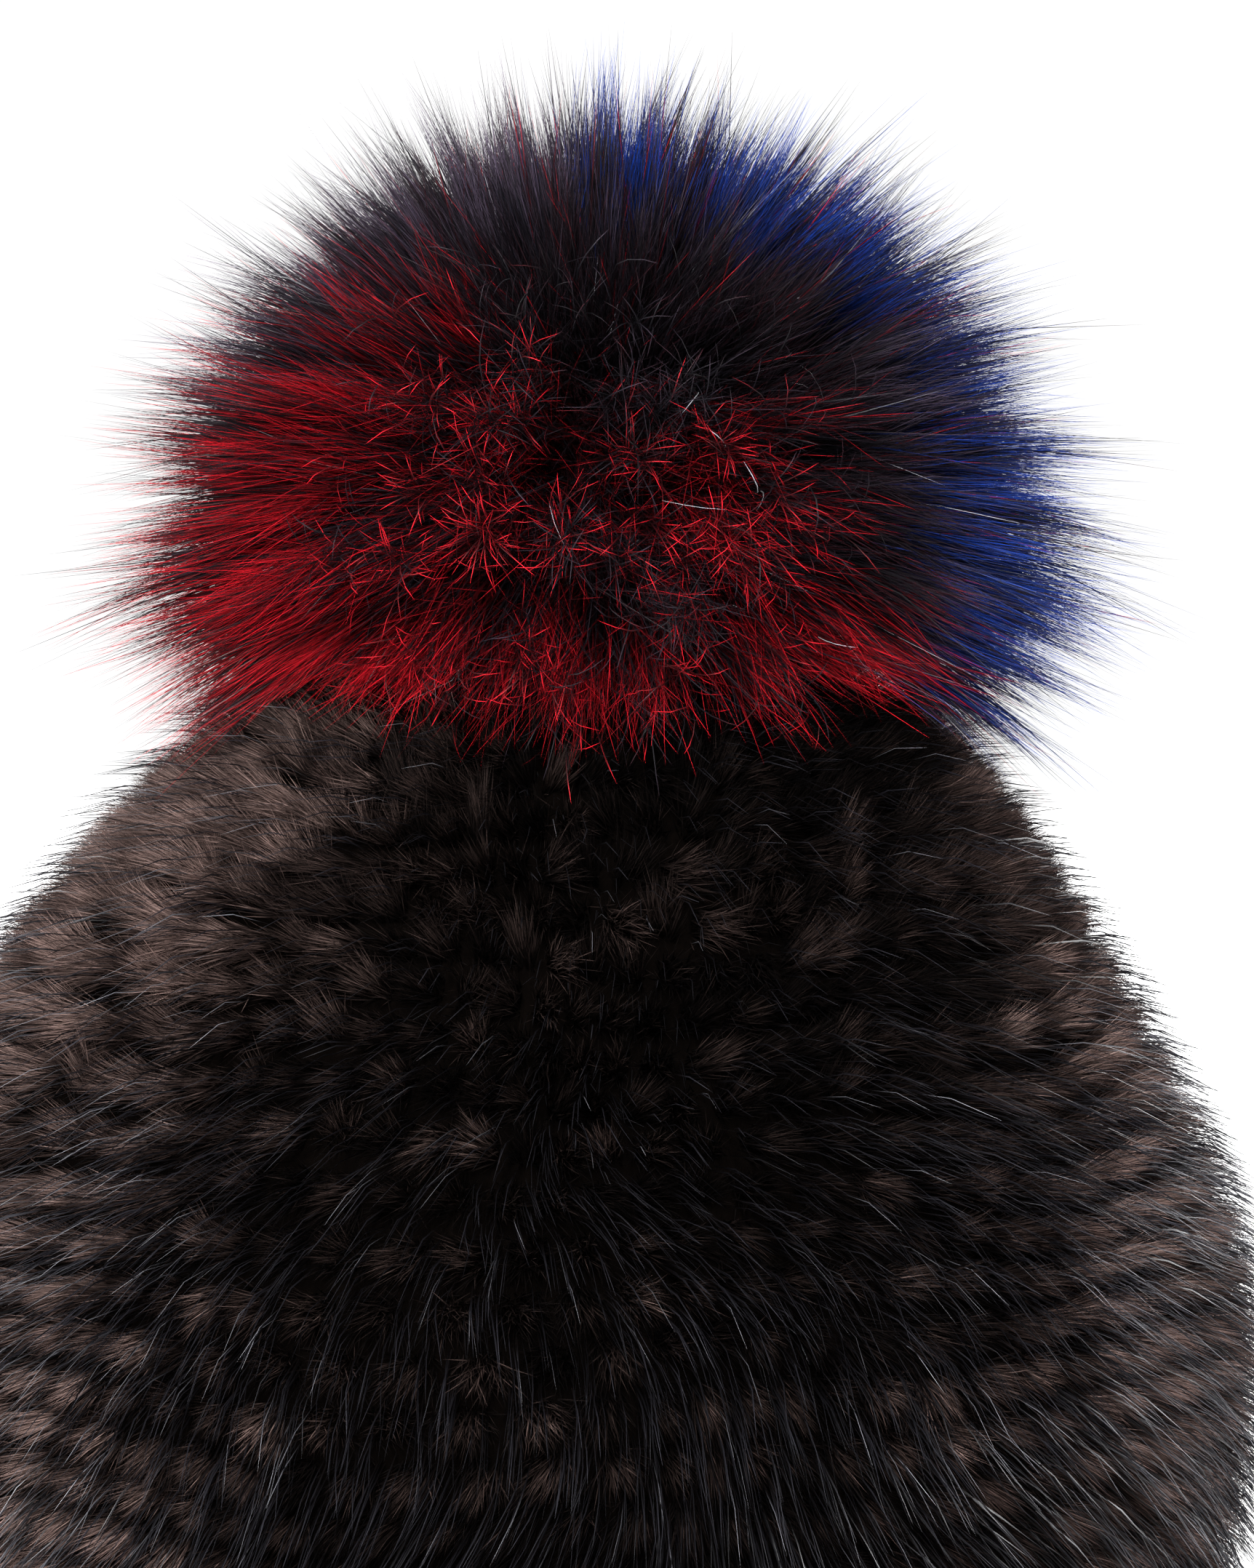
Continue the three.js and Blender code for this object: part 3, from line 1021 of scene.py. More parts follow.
    def underfur(self, cell: np.ndarray, light: np.ndarray, sway: np.ndarray) -> Hairs:
        """Grow a soft rounded tuft from each stitch, with a dark gap round it: the hair there is shorter and
        painted darker, as painted shade.

        Args:
            cell: Each hair's course and wale.
            light: How light each stitch is.
            sway: How each stitch leans.

        Returns:
            The hairs.
        """
        draw, tuft, depth = self.generator, self.tuft, self.form.fur_depth
        number = len(cell)
        across, along = draw.random((2, number)) - 0.5
        upper = smooth(cell[:, 0], *tuft.crown)
        swung = sway[cell[:, 0], cell[:, 1]]
        lean = changed(tuft.lean, upper)[:, None] * swung
        round_across, round_along = (1 - np.abs(2 * share) ** tuft.squareness for share in (across, along))
        gap = changed(tuft.gap, upper) * (1 - round_across * round_along)
        high = tuft.lower * (1 + np.clip(swung[:, 0] * swung[:, 1], *tuft.lower_ends))
        deep = np.full(number, tuft.root_depth * depth)
        root = self.place(cell, tuft.root_spread[0] * across, tuft.root_spread[1] * along, deep)
        stray = changed(tuft.stray, upper) * draw.normal(size=(2, number))
        rise = depth * (self.overhang - high - gap - tuft.shorter * draw.random(number) ** 2)
        tip = self.place(
            cell,
            tuft.tip_spread[0] * across + tuft.combed * self.flow(cell) + lean[:, 0] + stray[0],
            tuft.tip_spread[1] * along - tuft.droop + lean[:, 1] + stray[1],
            rise,
        )
        # The tone follows the stitch's painted lightness, and the hair towards the gap is painted darker, as
        # shade in the recess.
        tone = light[cell[:, 0], cell[:, 1]] - gap + tuft.uneven_tone * draw.normal(size=number)
        return Hairs(
            spine=self.above_hem(root, tip),
            width=MILLIMETRE * changed(tuft.width, draw.random(number)),
            tone=np.clip(tone, 0.0, 1.0),
            band=draw.choice(Hairs.BANDS, number, p=tuft.bands),
        )

    def flow(self, cell: np.ndarray) -> np.ndarray:
        """Give how far each hair is combed sideways, away from the front and the back.

        Args:
            cell: Each hair's course and wale.

        Returns:
            A share from -1 to 1, positive the way round that the wales run.
        """
        turn = 2 * np.pi * (cell[:, 1] + 0.5) / STITCHES_ROUND
        return -np.sin(2 * turn) * (1 - self.combed_less * smooth(cell[:, 0], *self.COMBED_UPPER))

    def guard_hair(self, cell: np.ndarray, light: np.ndarray, sway: np.ndarray) -> Hairs:
        """Grow the sparse glossy hair, which leans down and stands off the underfur.

        Args:
            cell: Each hair's course and wale.
            light: How light each stitch is.
            sway: How each stitch leans.

        Returns:
            The hairs.
        """
        draw, guard, depth = self.generator, self.guard, self.form.fur_depth
        number = len(cell)
        side, spread = guard.across
        across = side * draw.choice([-1.0, 1.0], number) + spread * draw.normal(size=number)
        along = draw.random(number) - 0.5
        lean = guard.lean * sway[cell[:, 0], cell[:, 1]]
        root = self.place(cell, across, along, np.full(number, guard.root_depth * depth))
        length = changed(guard.length, draw.random(number))
        lift = depth * (self.overhang + changed(guard.lift, draw.random(number)))
        veer = guard.stray * draw.normal(size=number) + lean[:, 0] + guard.combed * self.flow(cell)
        middle = self.place(
            cell,
            across + guard.middle[0] * veer,
            along - guard.middle[1] * length,
            guard.middle_lift * lift - guard.middle_depth * depth,
        )
        tip = self.place(cell, across + veer, along - length, lift)
        # Silver hairs grow more common where the pelt is painted lighter, as painted glints, and the tone
        # follows the painted lightness.
        stitch = light[cell[:, 0], cell[:, 1]]
        silver_and_glint = draw.random(number) < changed(guard.silver_and_glint, stitch**2)
        base, by_stitch, by_chance = guard.tone
        dark = base + by_stitch * stitch + by_chance * draw.random(number)
        width = np.where(silver_and_glint, guard.silver_width, changed(guard.width, draw.random(number)))
        return Hairs(
            spine=self.above_hem(root, middle, tip),
            width=MILLIMETRE * width,
            tone=np.where(silver_and_glint, changed(guard.silver_tone, draw.random(number)), dark),
            band=draw.choice(Hairs.BANDS, number, p=guard.bands),
        )


@dataclass(frozen=True)
class Coat:
    """One kind of the pompom's straight hair.

    Lengths and places are shares of the reach, and widths are in millimetres. A pair that is read
    by changed holds the least value and what chance adds to it.
    """

    name: str
    finish: HairFinish
    count: int
    pull: Pair
    length: Pair
    length_power: float
    shares: tuple[float, float, float]
    width: Pair
    dark: float
    astray: bool
    bands: tuple[float, ...] = (0.25, 0.3, 0.27, 0.18)


COATS = (
    Coat(
        name="pompom_underfur",
        finish=POMPOM_UNDERFUR,
        count=60000,
        pull=(0.4, 0.5),
        length=(0.82, 0.2),
        length_power=1.0,
        shares=(0.4, 0.74, 1.0),
        width=(0.22, 0.16),
        dark=0.38,
        astray=False,
    ),
    Coat(
        name="pompom_guard_hair",
        finish=POMPOM_GUARD,
        count=50000,
        pull=(0.68, 0.31),
        length=(0.9, 0.24),
        length_power=1.3,
        shares=(0.5, 0.76, 1.0),
        width=(0.12, 0.12),
        dark=0.14,
        astray=True,
    ),
)


@dataclass(frozen=True)
class Curls:
    """The short curled hair over the pompom's front and back. Lengths are in millimetres."""

    name: str = "pompom_curls"
    finish: HairFinish = POMPOM_CURL
    count: int = 4500
    tries: int = 8
    facing: Pair = (0.38, 0.78)
    above: Pair = (-0.5, -0.25)
    pull: Pair = (0.25, 0.6)
    length: Pair = (6, 6)
    bend: Pair = (0.8, 1.4)
    base: Pair = (0.86, 0.08)
    points: int = 5
    twist: float = 0.2
    dark: Pair = (0.35, 1.2)
    width: Pair = (0.12, 0.1)
    bands: tuple[float, ...] = (0.15, 0.25, 0.3, 0.3)


@dataclass
class Pompom:
    """The fur ball: a dark core, soft underfur, long guard hair in clumps, and curled hair.

    Directions from its centre are read as places on a unit ball, with x to the right and z up.
    A pair that is read by smooth gives where a change starts and where it is whole.
    """

    form: BodyForm
    seed: int = 21
    clumps: int = 1500
    curled: Curls = Curls()
    lift: float = 11 * MILLIMETRE
    core_share: float = 0.58
    core_subdivisions: int = 4
    core_clear: float = 0.3 * MILLIMETRE
    core_unevenness: float = 0.4
    lowest_hair: Pair = (31.5, -5)
    uneven_trim: float = 0.06
    generator: np.random.Generator = field(init=False)
    centre: np.ndarray = field(init=False)
    reach: float = field(init=False)
    clump_angle: float = field(init=False)
    clump_roots: np.ndarray = field(init=False)
    clump_tips: np.ndarray = field(init=False)
    clump_reach: np.ndarray = field(init=False)
    clump_wander: np.ndarray = field(init=False)
    clump_shade: np.ndarray = field(init=False)

    # Spread of the hair
    LOWEST_DEGREES = -50
    BALL_SHARE = 0.88
    HAIR_JITTER = 0.12
    CLUMP_JITTER = 0.03
    FACING_THINNED = (0.3, 0.7)
    FACING_THINNED_BY = 0.55
    CLUMP_LEAN = 0.06
    CLUMP_UNEVEN = 0.05
    CLUMP_ENDS = (-1.8, 1.8)
    DROOP = 0.05

    # Parting over the top
    PARTING_X = -0.07
    PARTING_PUSH = 0.036
    PARTING_WIDTH = 0.09
    PARTING_DEPTH = 0.45
    PARTING_HIGH = (0.5, 0.8)

    # Reach in each direction, and how hair bends on its way
    ELEVATIONS = (-90, -60, -40, -20, 0, 18, 42, 65, 90)
    REACHES = (0.6, 0.88, 1.07, 1.1, 1.03, 0.95, 0.87, 0.84, 0.85)
    WIDER_RIGHT = 0.035
    CLUMP_TIP = (1.02, -0.08)
    CLUMP_EDGE = 1.5
    LOOSE = (0.017, 0.05)
    BEND_POWER = 1.3
    WAVE = (0.4, 2.2)
    WAVY = (0.25, 0.8)
    CLEAR = (0.3, 2.5)
    TRIM_SIDE = (0.2, 0.6)
    TRIM_MIDDLE = 0.04
    TRIM_FRONT = (0.3, 0.55)
    CRAWLING_LOW = (-0.5, -0.64)
    CRAWLING_SIDE = (0.4, 0.6)
    CRAWLING_SHORTER = 0.2

    # Borders of the dye
    RED_LINE = (
        (-1.0, -0.86, -0.6, -0.4, -0.23, 0.0, 0.1, 0.32, 0.44, 0.5, 0.6, 0.78, 0.86, 0.92),
        (0.16, 0.26, 0.5, 0.5, 0.36, 0.2, 0.08, 0.18, 0.14, -0.04, -0.2, -0.28, -0.42, -1.2),
    )
    RED_UNDER_LINE = (-0.04, 0.05)
    RED_LEFT_OF = (0.78, 0.7)
    # Painted shade: black hair under the red at the lower right.
    PAINTED_SHADE_RIGHT_OF = (0.5, 0.64)
    PAINTED_SHADE_BELOW = (-0.34, -0.46)
    BLUE_SIDE = (0.8, 0.88)
    BLUE_SIDE_BELOW = (0.36, 0.24)
    BLUE_RIM = (0.76, 0.92)
    BLUE_RIGHT_OF = (-0.07, 0.03)
    BLUE_ABOVE = (0.3, 0.42)
    TIPPED_RIM = (0.66, 0.92)
    WANDER = 0.05
    TONE_UNEVEN = 0.012

    # Share of black hair among the dyed
    DARK_CLUMPS = 0.45
    # More black hair towards the front and the back of the ball is painted shade.
    MIDDLE = (0.3, 0.65)
    DARK_MIDDLE = (0.4, 0.5)
    RIM = (0.84, 0.96)
    DARK_RIM = (0.1, 0.4)
    RIM_LEFT_OF = (-0.2, -0.7)
    LESS_DARK_BELOW = (-0.1, -0.4)
    LESS_DARK = 0.2
    DARK_BLUE = (0.1, 0.6)
    DARK_BLUE_CLUMPS = (0.4, 0.85)
    DARK_BLUE_HIGH = 0.4
    ASTRAY = (0.02, 0.12)
    ASTRAY_BELOW = (0.75, 0.25)
    ASTRAY_LEFT_OF = (0.35, -0.05)
    PAST_RED = 0.1
    # Share of silver hairs, scattered as painted glints.
    SILVER_SHARE = 0.003

    def __post_init__(self) -> None:
        """Take the pompom's place and size from its solid."""
        low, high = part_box("pompom")
        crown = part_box(COURSE_NODES[-1])[1].z
        self.generator = np.random.default_rng(self.seed)
        self.centre = np.array([self.form.lean[-1], 0.0, crown + self.lift])
        self.reach = 0.5 * ((high.x - low.x) + (high.y - low.y)) / 2
        self.clump_angle = math.sqrt(4 * self.BALL_SHARE / self.clumps)

    def build(self) -> None:
        """Make every piece of the pompom."""
        self.core()
        self.grow_clumps()
        for coat in COATS:
            self.dress(self.hairs(coat), coat.name, coat.finish)
        self.dress(self.curls(), self.curled.name, self.curled.finish)

    def dress(self, hairs: Hairs, name: str, finish: HairFinish) -> None:
        """Make a piece of the hairs and give it its finish.

        Args:
            hairs: The hairs.
            name: The piece's name.
            finish: The finish.
        """
        piece = hairs.build(name, self.generator)
        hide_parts("pompom")
        settle(piece, finish.material())

    def reach_at(self, direction: np.ndarray) -> np.ndarray:
        """Give how far the hair reaches from the centre.

        Args:
            direction: Directions from the centre.

        Returns:
            The reach in each direction.
        """
        elevation = np.degrees(np.arcsin(np.clip(direction[..., 2], -1, 1)))
        return self.reach * np.interp(elevation, self.ELEVATIONS, self.REACHES)

    def directions(self, number: int, jitter: float) -> np.ndarray:
        """Spread directions evenly over the ball, leaving out its hidden underside.

        Args:
            number: How many directions.
            jitter: How far each strays, as a length on the unit ball.

        Returns:
            The directions.
        """
        lowest = math.sin(math.radians(self.LOWEST_DEGREES))
        index = np.arange(number) + 0.5
        z = 1 - (1 - lowest) * index / number
        turn = index * math.pi * (3 - math.sqrt(5))
        level = np.sqrt(1 - z * z)
        spread = np.stack([level * np.cos(turn), level * np.sin(turn), z], axis=-1)
        return unit(spread + jitter * self.generator.normal(size=spread.shape))

    def grow_clumps(self) -> None:
        """Place the clumps, lean each one a little, and open the parting over the top."""
        draw = self.generator
        roots = self.directions(self.clumps, self.CLUMP_JITTER)
        facing = 1 - np.hypot(roots[:, 0], roots[:, 2])
        dropped = self.FACING_THINNED_BY * smooth(facing, *self.FACING_THINNED)
        self.clump_roots = roots[draw.random(self.clumps) > dropped]
        tips = self.clump_roots + self.CLUMP_LEAN * draw.normal(size=self.clump_roots.shape)
        x = tips[:, 0] - self.PARTING_X
        near = np.exp(-((x / self.PARTING_WIDTH) ** 2) - (tips[:, 1] / self.PARTING_DEPTH) ** 2)
        tips[:, 0] += self.PARTING_PUSH * np.sign(x) * near * smooth(tips[:, 2], *self.PARTING_HIGH)
        tips[:, 2] -= self.DROOP * np.abs(tips[:, 0])
        self.clump_tips = unit(tips)
        kept = len(self.clump_roots)
        self.clump_reach = 1 + self.CLUMP_UNEVEN * np.clip(draw.normal(size=kept), *self.CLUMP_ENDS)
        self.clump_wander = self.WANDER * draw.normal(size=(kept, 2))
        self.clump_shade = draw.random(kept)

    def dye(self, heading: np.ndarray, wander: np.ndarray) -> np.ndarray:
        """Give each hair its dye: red at the left and below, black and grey over it, blue at the right, and
        black under the red at the lower right as painted shade.

        Args:
            heading: Each hair's direction.
            wander: How far each hair's dye strays across the borders.

        Returns:
            The place across the palette.
        """
        x = heading[:, 0] + wander[:, 0]
        z = heading[:, 2] + wander[:, 1]
        outward = np.hypot(heading[:, 0], heading[:, 2])
        red = smooth(np.interp(x, *self.RED_LINE) - z, *self.RED_UNDER_LINE) * smooth(x, *self.RED_LEFT_OF)
        # Painted shade: black hair in place of red at the lower right.
        red = red * (1 - smooth(x, *self.PAINTED_SHADE_RIGHT_OF) * smooth(z, *self.PAINTED_SHADE_BELOW))
        side = smooth(x, *self.BLUE_SIDE) * smooth(z, *self.BLUE_SIDE_BELOW)
        top = smooth(outward, *self.BLUE_RIM) * smooth(x, *self.BLUE_RIGHT_OF) * smooth(z, *self.BLUE_ABOVE)
        tipped = smooth(outward, *self.TIPPED_RIM)
        tone = BLACK + tipped * (np.where(x > 0, BLUE_TIP, GREY_TIP) - BLACK)
        tone = tone + (RED - tone) * red
        return tone + (BLUE - tone) * np.maximum(side, top)

    def nearest_clump(self, start: np.ndarray) -> tuple[np.ndarray, np.ndarray]:
        """Find the clump that each hair belongs to.

        Args:
            start: Each hair's first direction.

        Returns:
            The clump's number and the cosine of the angle to it.
        """
        near = start.astype(np.float32) @ self.clump_roots.T.astype(np.float32)
        clump = np.argmax(near, axis=1)
        return clump, near[np.arange(len(start)), clump]

    def wandered(self, number: int) -> np.ndarray:
        """Draw how far each hair's own dye strays, in x and z."""
        return self.WANDER * self.generator.normal(size=(number, 2))

    def dark_share(
        self, coat: Coat, tone: np.ndarray, heading: np.ndarray, facing: np.ndarray, shade: np.ndarray
    ) -> np.ndarray:
        """Give the chance that each hair is black and not dyed.

        Args:
            coat: The kind of hair.
            tone: Its dye.
            heading: Its direction.
            facing: How near it is to the front or the back, from 0 to 1.
            shade: Its clump's own darkness, from 0 to 1.

        Returns:
            The chance, under 0 or over 1 where it is sure.
        """
        uneven = shade - 0.5
        dark = coat.dark + self.DARK_CLUMPS * uneven
        # Painted shade: more black hair towards the front and the back of the ball.
        dark += smooth(facing, *self.MIDDLE) * changed(self.DARK_MIDDLE, uneven)
        rim = smooth(np.hypot(heading[:, 0], heading[:, 2]), *self.RIM)
        dark += changed(self.DARK_RIM, rim) * smooth(heading[:, 0], *self.RIM_LEFT_OF)
        dark -= self.LESS_DARK * smooth(heading[:, 2], *self.LESS_DARK_BELOW)
        among_blue = shade > np.where(heading[:, 2] > self.DARK_BLUE_HIGH, *self.DARK_BLUE_CLUMPS)
        return np.where(tone > BLACK, changed(self.DARK_BLUE, among_blue), dark)

    def hairs(self, coat: Coat) -> Hairs:
        """Grow hairs from the middle of the ball, gathered into clumps towards their tips.

        Args:
            coat: The kind of hair.

        Returns:
            The hairs.
        """
        draw, number = self.generator, coat.count
        start = self.directions(number, self.HAIR_JITTER)
        clump, near = self.nearest_clump(start)
        pull = changed(coat.pull, draw.random(number))[:, None]
        end = start + pull * (self.clump_tips[clump] - start)
        facing = 1 - np.hypot(start[:, 0], start[:, 2])
        end = unit(end + changed(self.LOOSE, facing)[:, None] * draw.normal(size=end.shape))
        stray = np.arccos(np.clip(near, -1, 1)) / self.clump_angle
        size = self.clump_reach[clump] * (1 + self.WIDER_RIGHT * end[:, 0]) * self.reach_at(end)
        size = size * changed(self.CLUMP_TIP, np.minimum(stray, self.CLUMP_EDGE))
        size = self.trim_below(size, end)
        length = size * changed(coat.length, draw.random(number) ** coat.length_power)
        width = changed(coat.width, draw.random(number))
        shares = np.array(coat.shares)
        turn = ((shares - shares[0]) / (1 - shares[0]))[None, :, None] ** self.BEND_POWER
        heading = unit(start[:, None, :] * (1 - turn) + end[:, None, :] * turn)
        wavy = MILLIMETRE * changed(self.WAVE, smooth(facing, *self.WAVY))
        wave = draw.normal(size=(number, len(shares), 3)) * wavy[:, None, None]
        wave[:, 0] = 0
        spine = self.centre + heading * (length[:, None] * shares[None, :])[:, :, None] + wave
        clear = MILLIMETRE * changed(self.CLEAR, draw.random((number, 1)))
        spine[:, :, 2] = np.maximum(spine[:, :, 2], self.form.crown_height(spine) + clear)
        tone = self.dye(end, self.clump_wander[clump] + self.wandered(number))
        dark = self.dark_share(coat, tone, end, facing, self.clump_shade[clump])
        tone = np.where(draw.random(number) < dark, BLACK, tone)
        tone = tone + self.TONE_UNEVEN * draw.normal(size=number)
        if coat.astray:
            low_left = smooth(end[:, 2], *self.ASTRAY_BELOW) * smooth(end[:, 0], *self.ASTRAY_LEFT_OF)
            astray = draw.random(number) < changed(self.ASTRAY, low_left)
            tone = np.where(astray & (tone > RED + self.PAST_RED), RED, tone)
            # Scattered silver hairs as painted glints.
            tone = np.where(draw.random(number) < self.SILVER_SHARE, SILVER_GLINT, tone)
        return Hairs(
            spine=spine,
            width=MILLIMETRE * width,
            tone=np.clip(tone, 0.0, 1.0),
            band=draw.choice(Hairs.BANDS, number, p=coat.bands),
        )

    def trim_below(self, size: np.ndarray, heading: np.ndarray) -> np.ndarray:
        """Trim the hair that hangs over the crown in front and behind.

        Args:
            size: How far each hair reaches.
            heading: Each hair's direction.

        Returns:
            The reach after the trim.
        """
        aside = smooth(np.abs(heading[:, 0] - self.TRIM_MIDDLE), *self.TRIM_SIDE)
        uneven = 1 + self.uneven_trim * self.generator.normal(size=len(size))
        lowest = MILLIMETRE * changed(self.lowest_hair, aside) * uneven
        share = np.minimum(lowest / np.maximum(-heading[:, 2] * size, MILLIMETRE), 1.0)
        size = size * (1 + (share - 1) * smooth(np.abs(heading[:, 1]), *self.TRIM_FRONT))
        crawling = smooth(heading[:, 2], *self.CRAWLING_LOW)
        crawling = crawling * smooth(np.abs(heading[:, 0]), *self.CRAWLING_SIDE)
        return size * (1 - self.CRAWLING_SHORTER * crawling)

    def curls(self) -> Hairs:
        """Grow the short curled hair that stands over the front and the back of the ball.

        Returns:
            The hairs.
        """
        draw, curled = self.generator, self.curled
        start = self.directions(curled.tries * curled.count, self.HAIR_JITTER)
        facing = 1 - np.hypot(start[:, 0], start[:, 2])
        dense = smooth(facing, *curled.facing) * smooth(start[:, 2], *curled.above)
        start = start[draw.random(len(start)) < dense]
        start = start[draw.permutation(len(start))[: curled.count]]
        number = len(start)
        clump = self.nearest_clump(start)[0]
        pull = changed(curled.pull, draw.random(number))[:, None]
        heading = unit(start + pull * (self.clump_tips[clump] - start))
        sideways = unit(np.cross(heading, draw.normal(size=(number, 3))))
        twist = np.cross(heading, sideways)
        length = MILLIMETRE * changed(curled.length, draw.random(number))
        bend = changed(curled.bend, draw.random(number))
        base = self.clump_reach[clump] * self.reach_at(heading) * changed(curled.base, draw.random(number))
        along = np.linspace(0.0, 1.0, curled.points)[None, :]
        out = np.sin(bend[:, None] * along) / bend[:, None]
        aside = (1 - np.cos(bend[:, None] * along)) / bend[:, None]
        turned = curled.twist * draw.normal(size=(number, 1)) * along**2
        spine = self.centre + (base[:, None] + length[:, None] * out)[:, :, None] * heading[:, None, :]
        spine = spine + (length[:, None] * aside)[:, :, None] * sideways[:, None, :]
        spine = spine + (length[:, None] * turned)[:, :, None] * twist[:, None, :]
        tone = self.dye(heading, self.clump_wander[clump] + self.wandered(number))
        dark = changed(curled.dark, self.clump_shade[clump] - 0.5)
        tone = np.where(draw.random(number) < dark, BLACK, tone)
        tone = tone + self.TONE_UNEVEN * draw.normal(size=number)
        # Scattered silver hairs as painted glints.
        tone = np.where(draw.random(number) < self.SILVER_SHARE, SILVER_GLINT, tone)
        return Hairs(
            spine=spine,
            width=MILLIMETRE * changed(curled.width, draw.random(number)),
            tone=np.clip(tone, 0.0, 1.0),
            band=draw.choice(Hairs.BANDS, number, p=curled.bands),
        )

    def core(self) -> bpy.types.Object:
        """Make the dark fur core that shows between the roots.

        Returns:
            The core.
        """
        start_clean()
        bpy.ops.mesh.primitive_ico_sphere_add(
            subdivisions=self.core_subdivisions, radius=1.0, location=(0, 0, 0)
        )
        made = bpy.context.object
        made.name = made.data.name = "pompom_core"
        bpy.ops.object.mode_set(mode="EDIT")
        bpy.ops.mesh.select_all(action="SELECT")
        bpy.ops.mesh.subdivide(
            number_cuts=1, smoothness=1.0, fractal=self.core_unevenness, seed=self.seed
        )
        bpy.ops.object.mode_set(mode="OBJECT")
        points = np.array([v.co for v in made.data.vertices])
        reach = self.reach_at(unit(points))
        points = self.centre + self.core_share * points * reach[:, None]
        points[:, 2] = np.maximum(points[:, 2], self.form.crown_height(points) + self.core_clear)
        made.data.vertices.foreach_set("co", points.astype(np.float32).ravel())
        made.data.update()
        bpy.ops.object.shade_smooth()
        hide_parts("pompom")
        return settle(made, CORE_FUR.material())


@dataclass
class PompomTie:
    """The stem through the crown and the button inside the hat."""

    sides: int = 40
    edge: float = 0.6 * MILLIMETRE
    edge_steps: int = 2
    smooth_degrees: float = 40
    thick: float = 2.5 * MILLIMETRE
    stem: float = 2.5 * MILLIMETRE
    dish: float = 0.4 * MILLIMETRE
    dish_rim: float = 0.3
    facing: float = 0.9

    def build(self) -> bpy.types.Object:
        """Make the button, inset its face and extrude the stem from it.

        Returns:
            The tie.
        """
        low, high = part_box("pompom_tie")
        centre = (low + high) / 2
        radius = (high.x - low.x) / 2
        start_clean()
        bpy.ops.mesh.primitive_cylinder_add(
            vertices=self.sides,
            radius=radius,
            depth=self.thick,
            location=(centre.x, centre.y, low.z + self.thick / 2),
        )
        made = bpy.context.object
        made.name = made.data.name = "pompom_tie_cord"
        bpy.ops.object.transform_apply(location=True, rotation=True, scale=True)
        bpy.ops.object.mode_set(mode="EDIT")
        self.select_level_faces(made, upwards=1)
        bpy.ops.mesh.inset(thickness=radius - self.stem)
        rise = high.z - low.z - self.thick
        bpy.ops.mesh.extrude_region_move(TRANSFORM_OT_translate={"value": (0, 0, rise)})
        bpy.ops.mesh.select_all(action="DESELECT")
        self.select_level_faces(made, upwards=-1)
        bpy.ops.mesh.inset(thickness=self.dish_rim * radius)
        bpy.ops.transform.translate(value=(0, 0, self.dish))
        bpy.ops.object.mode_set(mode="OBJECT")
        round_off = made.modifiers.new("edges", "BEVEL")
        round_off.width = self.edge
        round_off.segments = self.edge_steps
        bpy.ops.object.modifier_apply(modifier=round_off.name)
        bpy.ops.object.shade_smooth_by_angle(angle=math.radians(self.smooth_degrees))
        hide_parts("pompom_tie")
        return settle(made, TIE_CORD.material())

    def select_level_faces(self, made: bpy.types.Object, upwards: int) -> None:
        """Select the faces that look up or down, in edit mode.

        Args:
            made: The piece.
            upwards: 1 for the faces that look up, -1 for those that look down.
        """
        mesh = bmesh.from_edit_mesh(made.data)
        for face in mesh.faces:
            face.select_set(upwards * face.normal.z > self.facing)
        bmesh.update_edit_mesh(made.data)


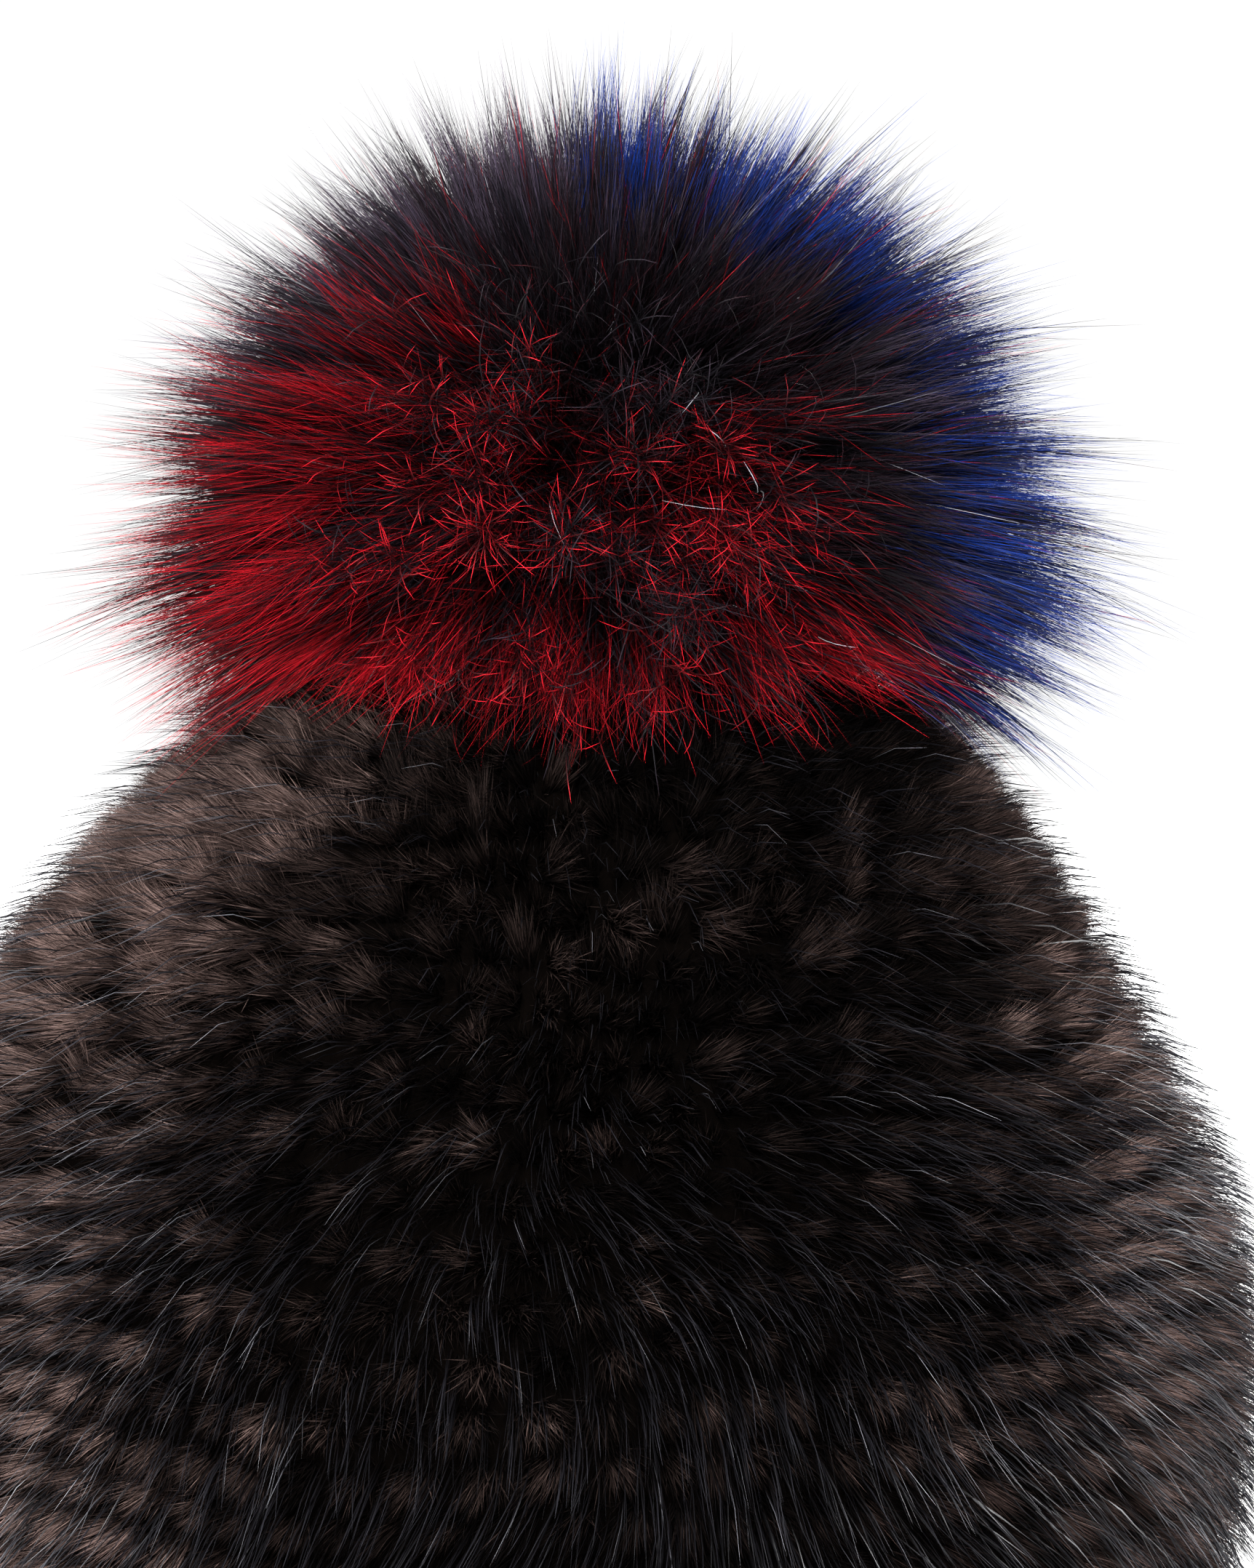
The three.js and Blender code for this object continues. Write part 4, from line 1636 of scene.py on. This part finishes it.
@dataclass
class Studio:
    """The pale floor, the soft light and the camera."""

    aim: Vector = field(default_factory=lambda: Vector((0.0125, 0.0, 0.143)))
    distance: float = 1.0
    elevation: float = 5.0
    lens: float = 150.0
    sensor: float = 36.0
    nearest: float = 0.05
    floor_sides: int = 64
    floor_radius: float = 12.0
    floor_white: float = 0.8
    floor_roughness: float = 0.9
    room_light: float = 0.04
    room_seen: float = 1.05
    lit_point: Vector = field(default_factory=lambda: Vector((0.0, 0.0, 0.14)))

    WHITE = (1.0, 1.0, 1.0, 1.0)
    LIGHTS = (
        ("key_light", (-0.1, -1.25, 0.85), 0.5, 32.0),
        ("back_light", (0.3, 1.3, 0.7), 0.8, 22.0),
        ("left_light", (-1.2, -0.15, 0.3), 0.8, 19.0),
        ("right_light", (1.1, 0.35, 0.5), 0.8, 10.0),
    )

    def build(self) -> None:
        """Make the floor, the lights, the world and the camera."""
        self.camera()
        self.floor()
        self.world()
        for light in self.LIGHTS:
            self.softbox(*light)
        view = bpy.context.scene.view_settings
        view.view_transform = "Standard"
        view.look = "None"

    def camera(self) -> None:
        """Place the camera at the photograph's angle, a little above the rim's plane."""
        data = bpy.data.cameras.new("camera")
        data.lens = self.lens
        data.sensor_width = self.sensor
        data.clip_start = self.nearest
        data.dof.use_dof = False
        made = bpy.data.objects.new("camera", data)
        rise = math.radians(self.elevation)
        back = Vector((0.0, -math.cos(rise), math.sin(rise)))
        made.location = self.aim + self.distance * back
        made.rotation_euler = (-back).to_track_quat("-Z", "Y").to_euler()
        bpy.context.scene.collection.objects.link(made)
        bpy.context.scene.camera = made

    def floor(self) -> None:
        """Lay a white floor, which the camera sees a little brighter than its light makes it."""
        start_clean()
        bpy.ops.mesh.primitive_circle_add(
            vertices=self.floor_sides, radius=self.floor_radius, fill_type="NGON"
        )
        made = bpy.context.object
        made.name = "floor"
        material = bpy.data.materials.new("white_floor")
        material.use_nodes = True
        tree = material.node_tree
        shader = tree.nodes["Principled BSDF"]
        shader.inputs["Base Color"].default_value = (*[self.floor_white] * 3, 1.0)
        shader.inputs["Roughness"].default_value = self.floor_roughness
        shader.inputs["Emission Color"].default_value = self.WHITE
        path = node(tree, "ShaderNodeLightPath")
        tree.links.new(path.outputs["Is Camera Ray"], shader.inputs["Emission Strength"])
        made.data.materials.append(material)

    def world(self) -> None:
        """Light the room softly, and show it white behind the hat."""
        made = bpy.data.worlds.new("studio")
        bpy.context.scene.world = made
        made.use_nodes = True
        tree = made.node_tree
        back = tree.nodes["Background"]
        back.inputs["Color"].default_value = self.WHITE
        path = node(tree, "ShaderNodeLightPath")
        strength = node(tree, "ShaderNodeMapRange")
        strength.inputs["To Min"].default_value = self.room_light
        strength.inputs["To Max"].default_value = self.room_seen
        tree.links.new(path.outputs["Is Camera Ray"], strength.inputs["Value"])
        tree.links.new(strength.outputs[0], back.inputs["Strength"])

    def softbox(self, name: str, place: tuple[float, float, float], size: float, power: float) -> None:
        """Hang a square soft light that points at the hat.

        Args:
            name: The light's name.
            place: Where it hangs.
            size: The length of its side.
            power: Its power in watts.
        """
        data = bpy.data.lights.new(name, "AREA")
        data.shape = "SQUARE"
        data.size = size
        data.energy = power
        made = bpy.data.objects.new(name, data)
        made.location = place
        made.rotation_euler = (self.lit_point - Vector(place)).to_track_quat("-Z", "Y").to_euler()
        made.visible_camera = False
        bpy.context.scene.collection.objects.link(made)


def main() -> None:
    """Build the studio and the hat."""
    logging.basicConfig(level=logging.INFO, format="%(name)s: %(message)s")
    Studio().build()
    form = BodyForm.from_courses(COURSE_NODES)
    lengths = form.length / MILLIMETRE, form.fur_depth / MILLIMETRE
    log.info("outline %.1f mm long, fur %.1f mm deep", *lengths)
    HatBody(form).build()
    Pompom(form).build()
    PompomTie().build()


if __name__ == "__main__":
    main()
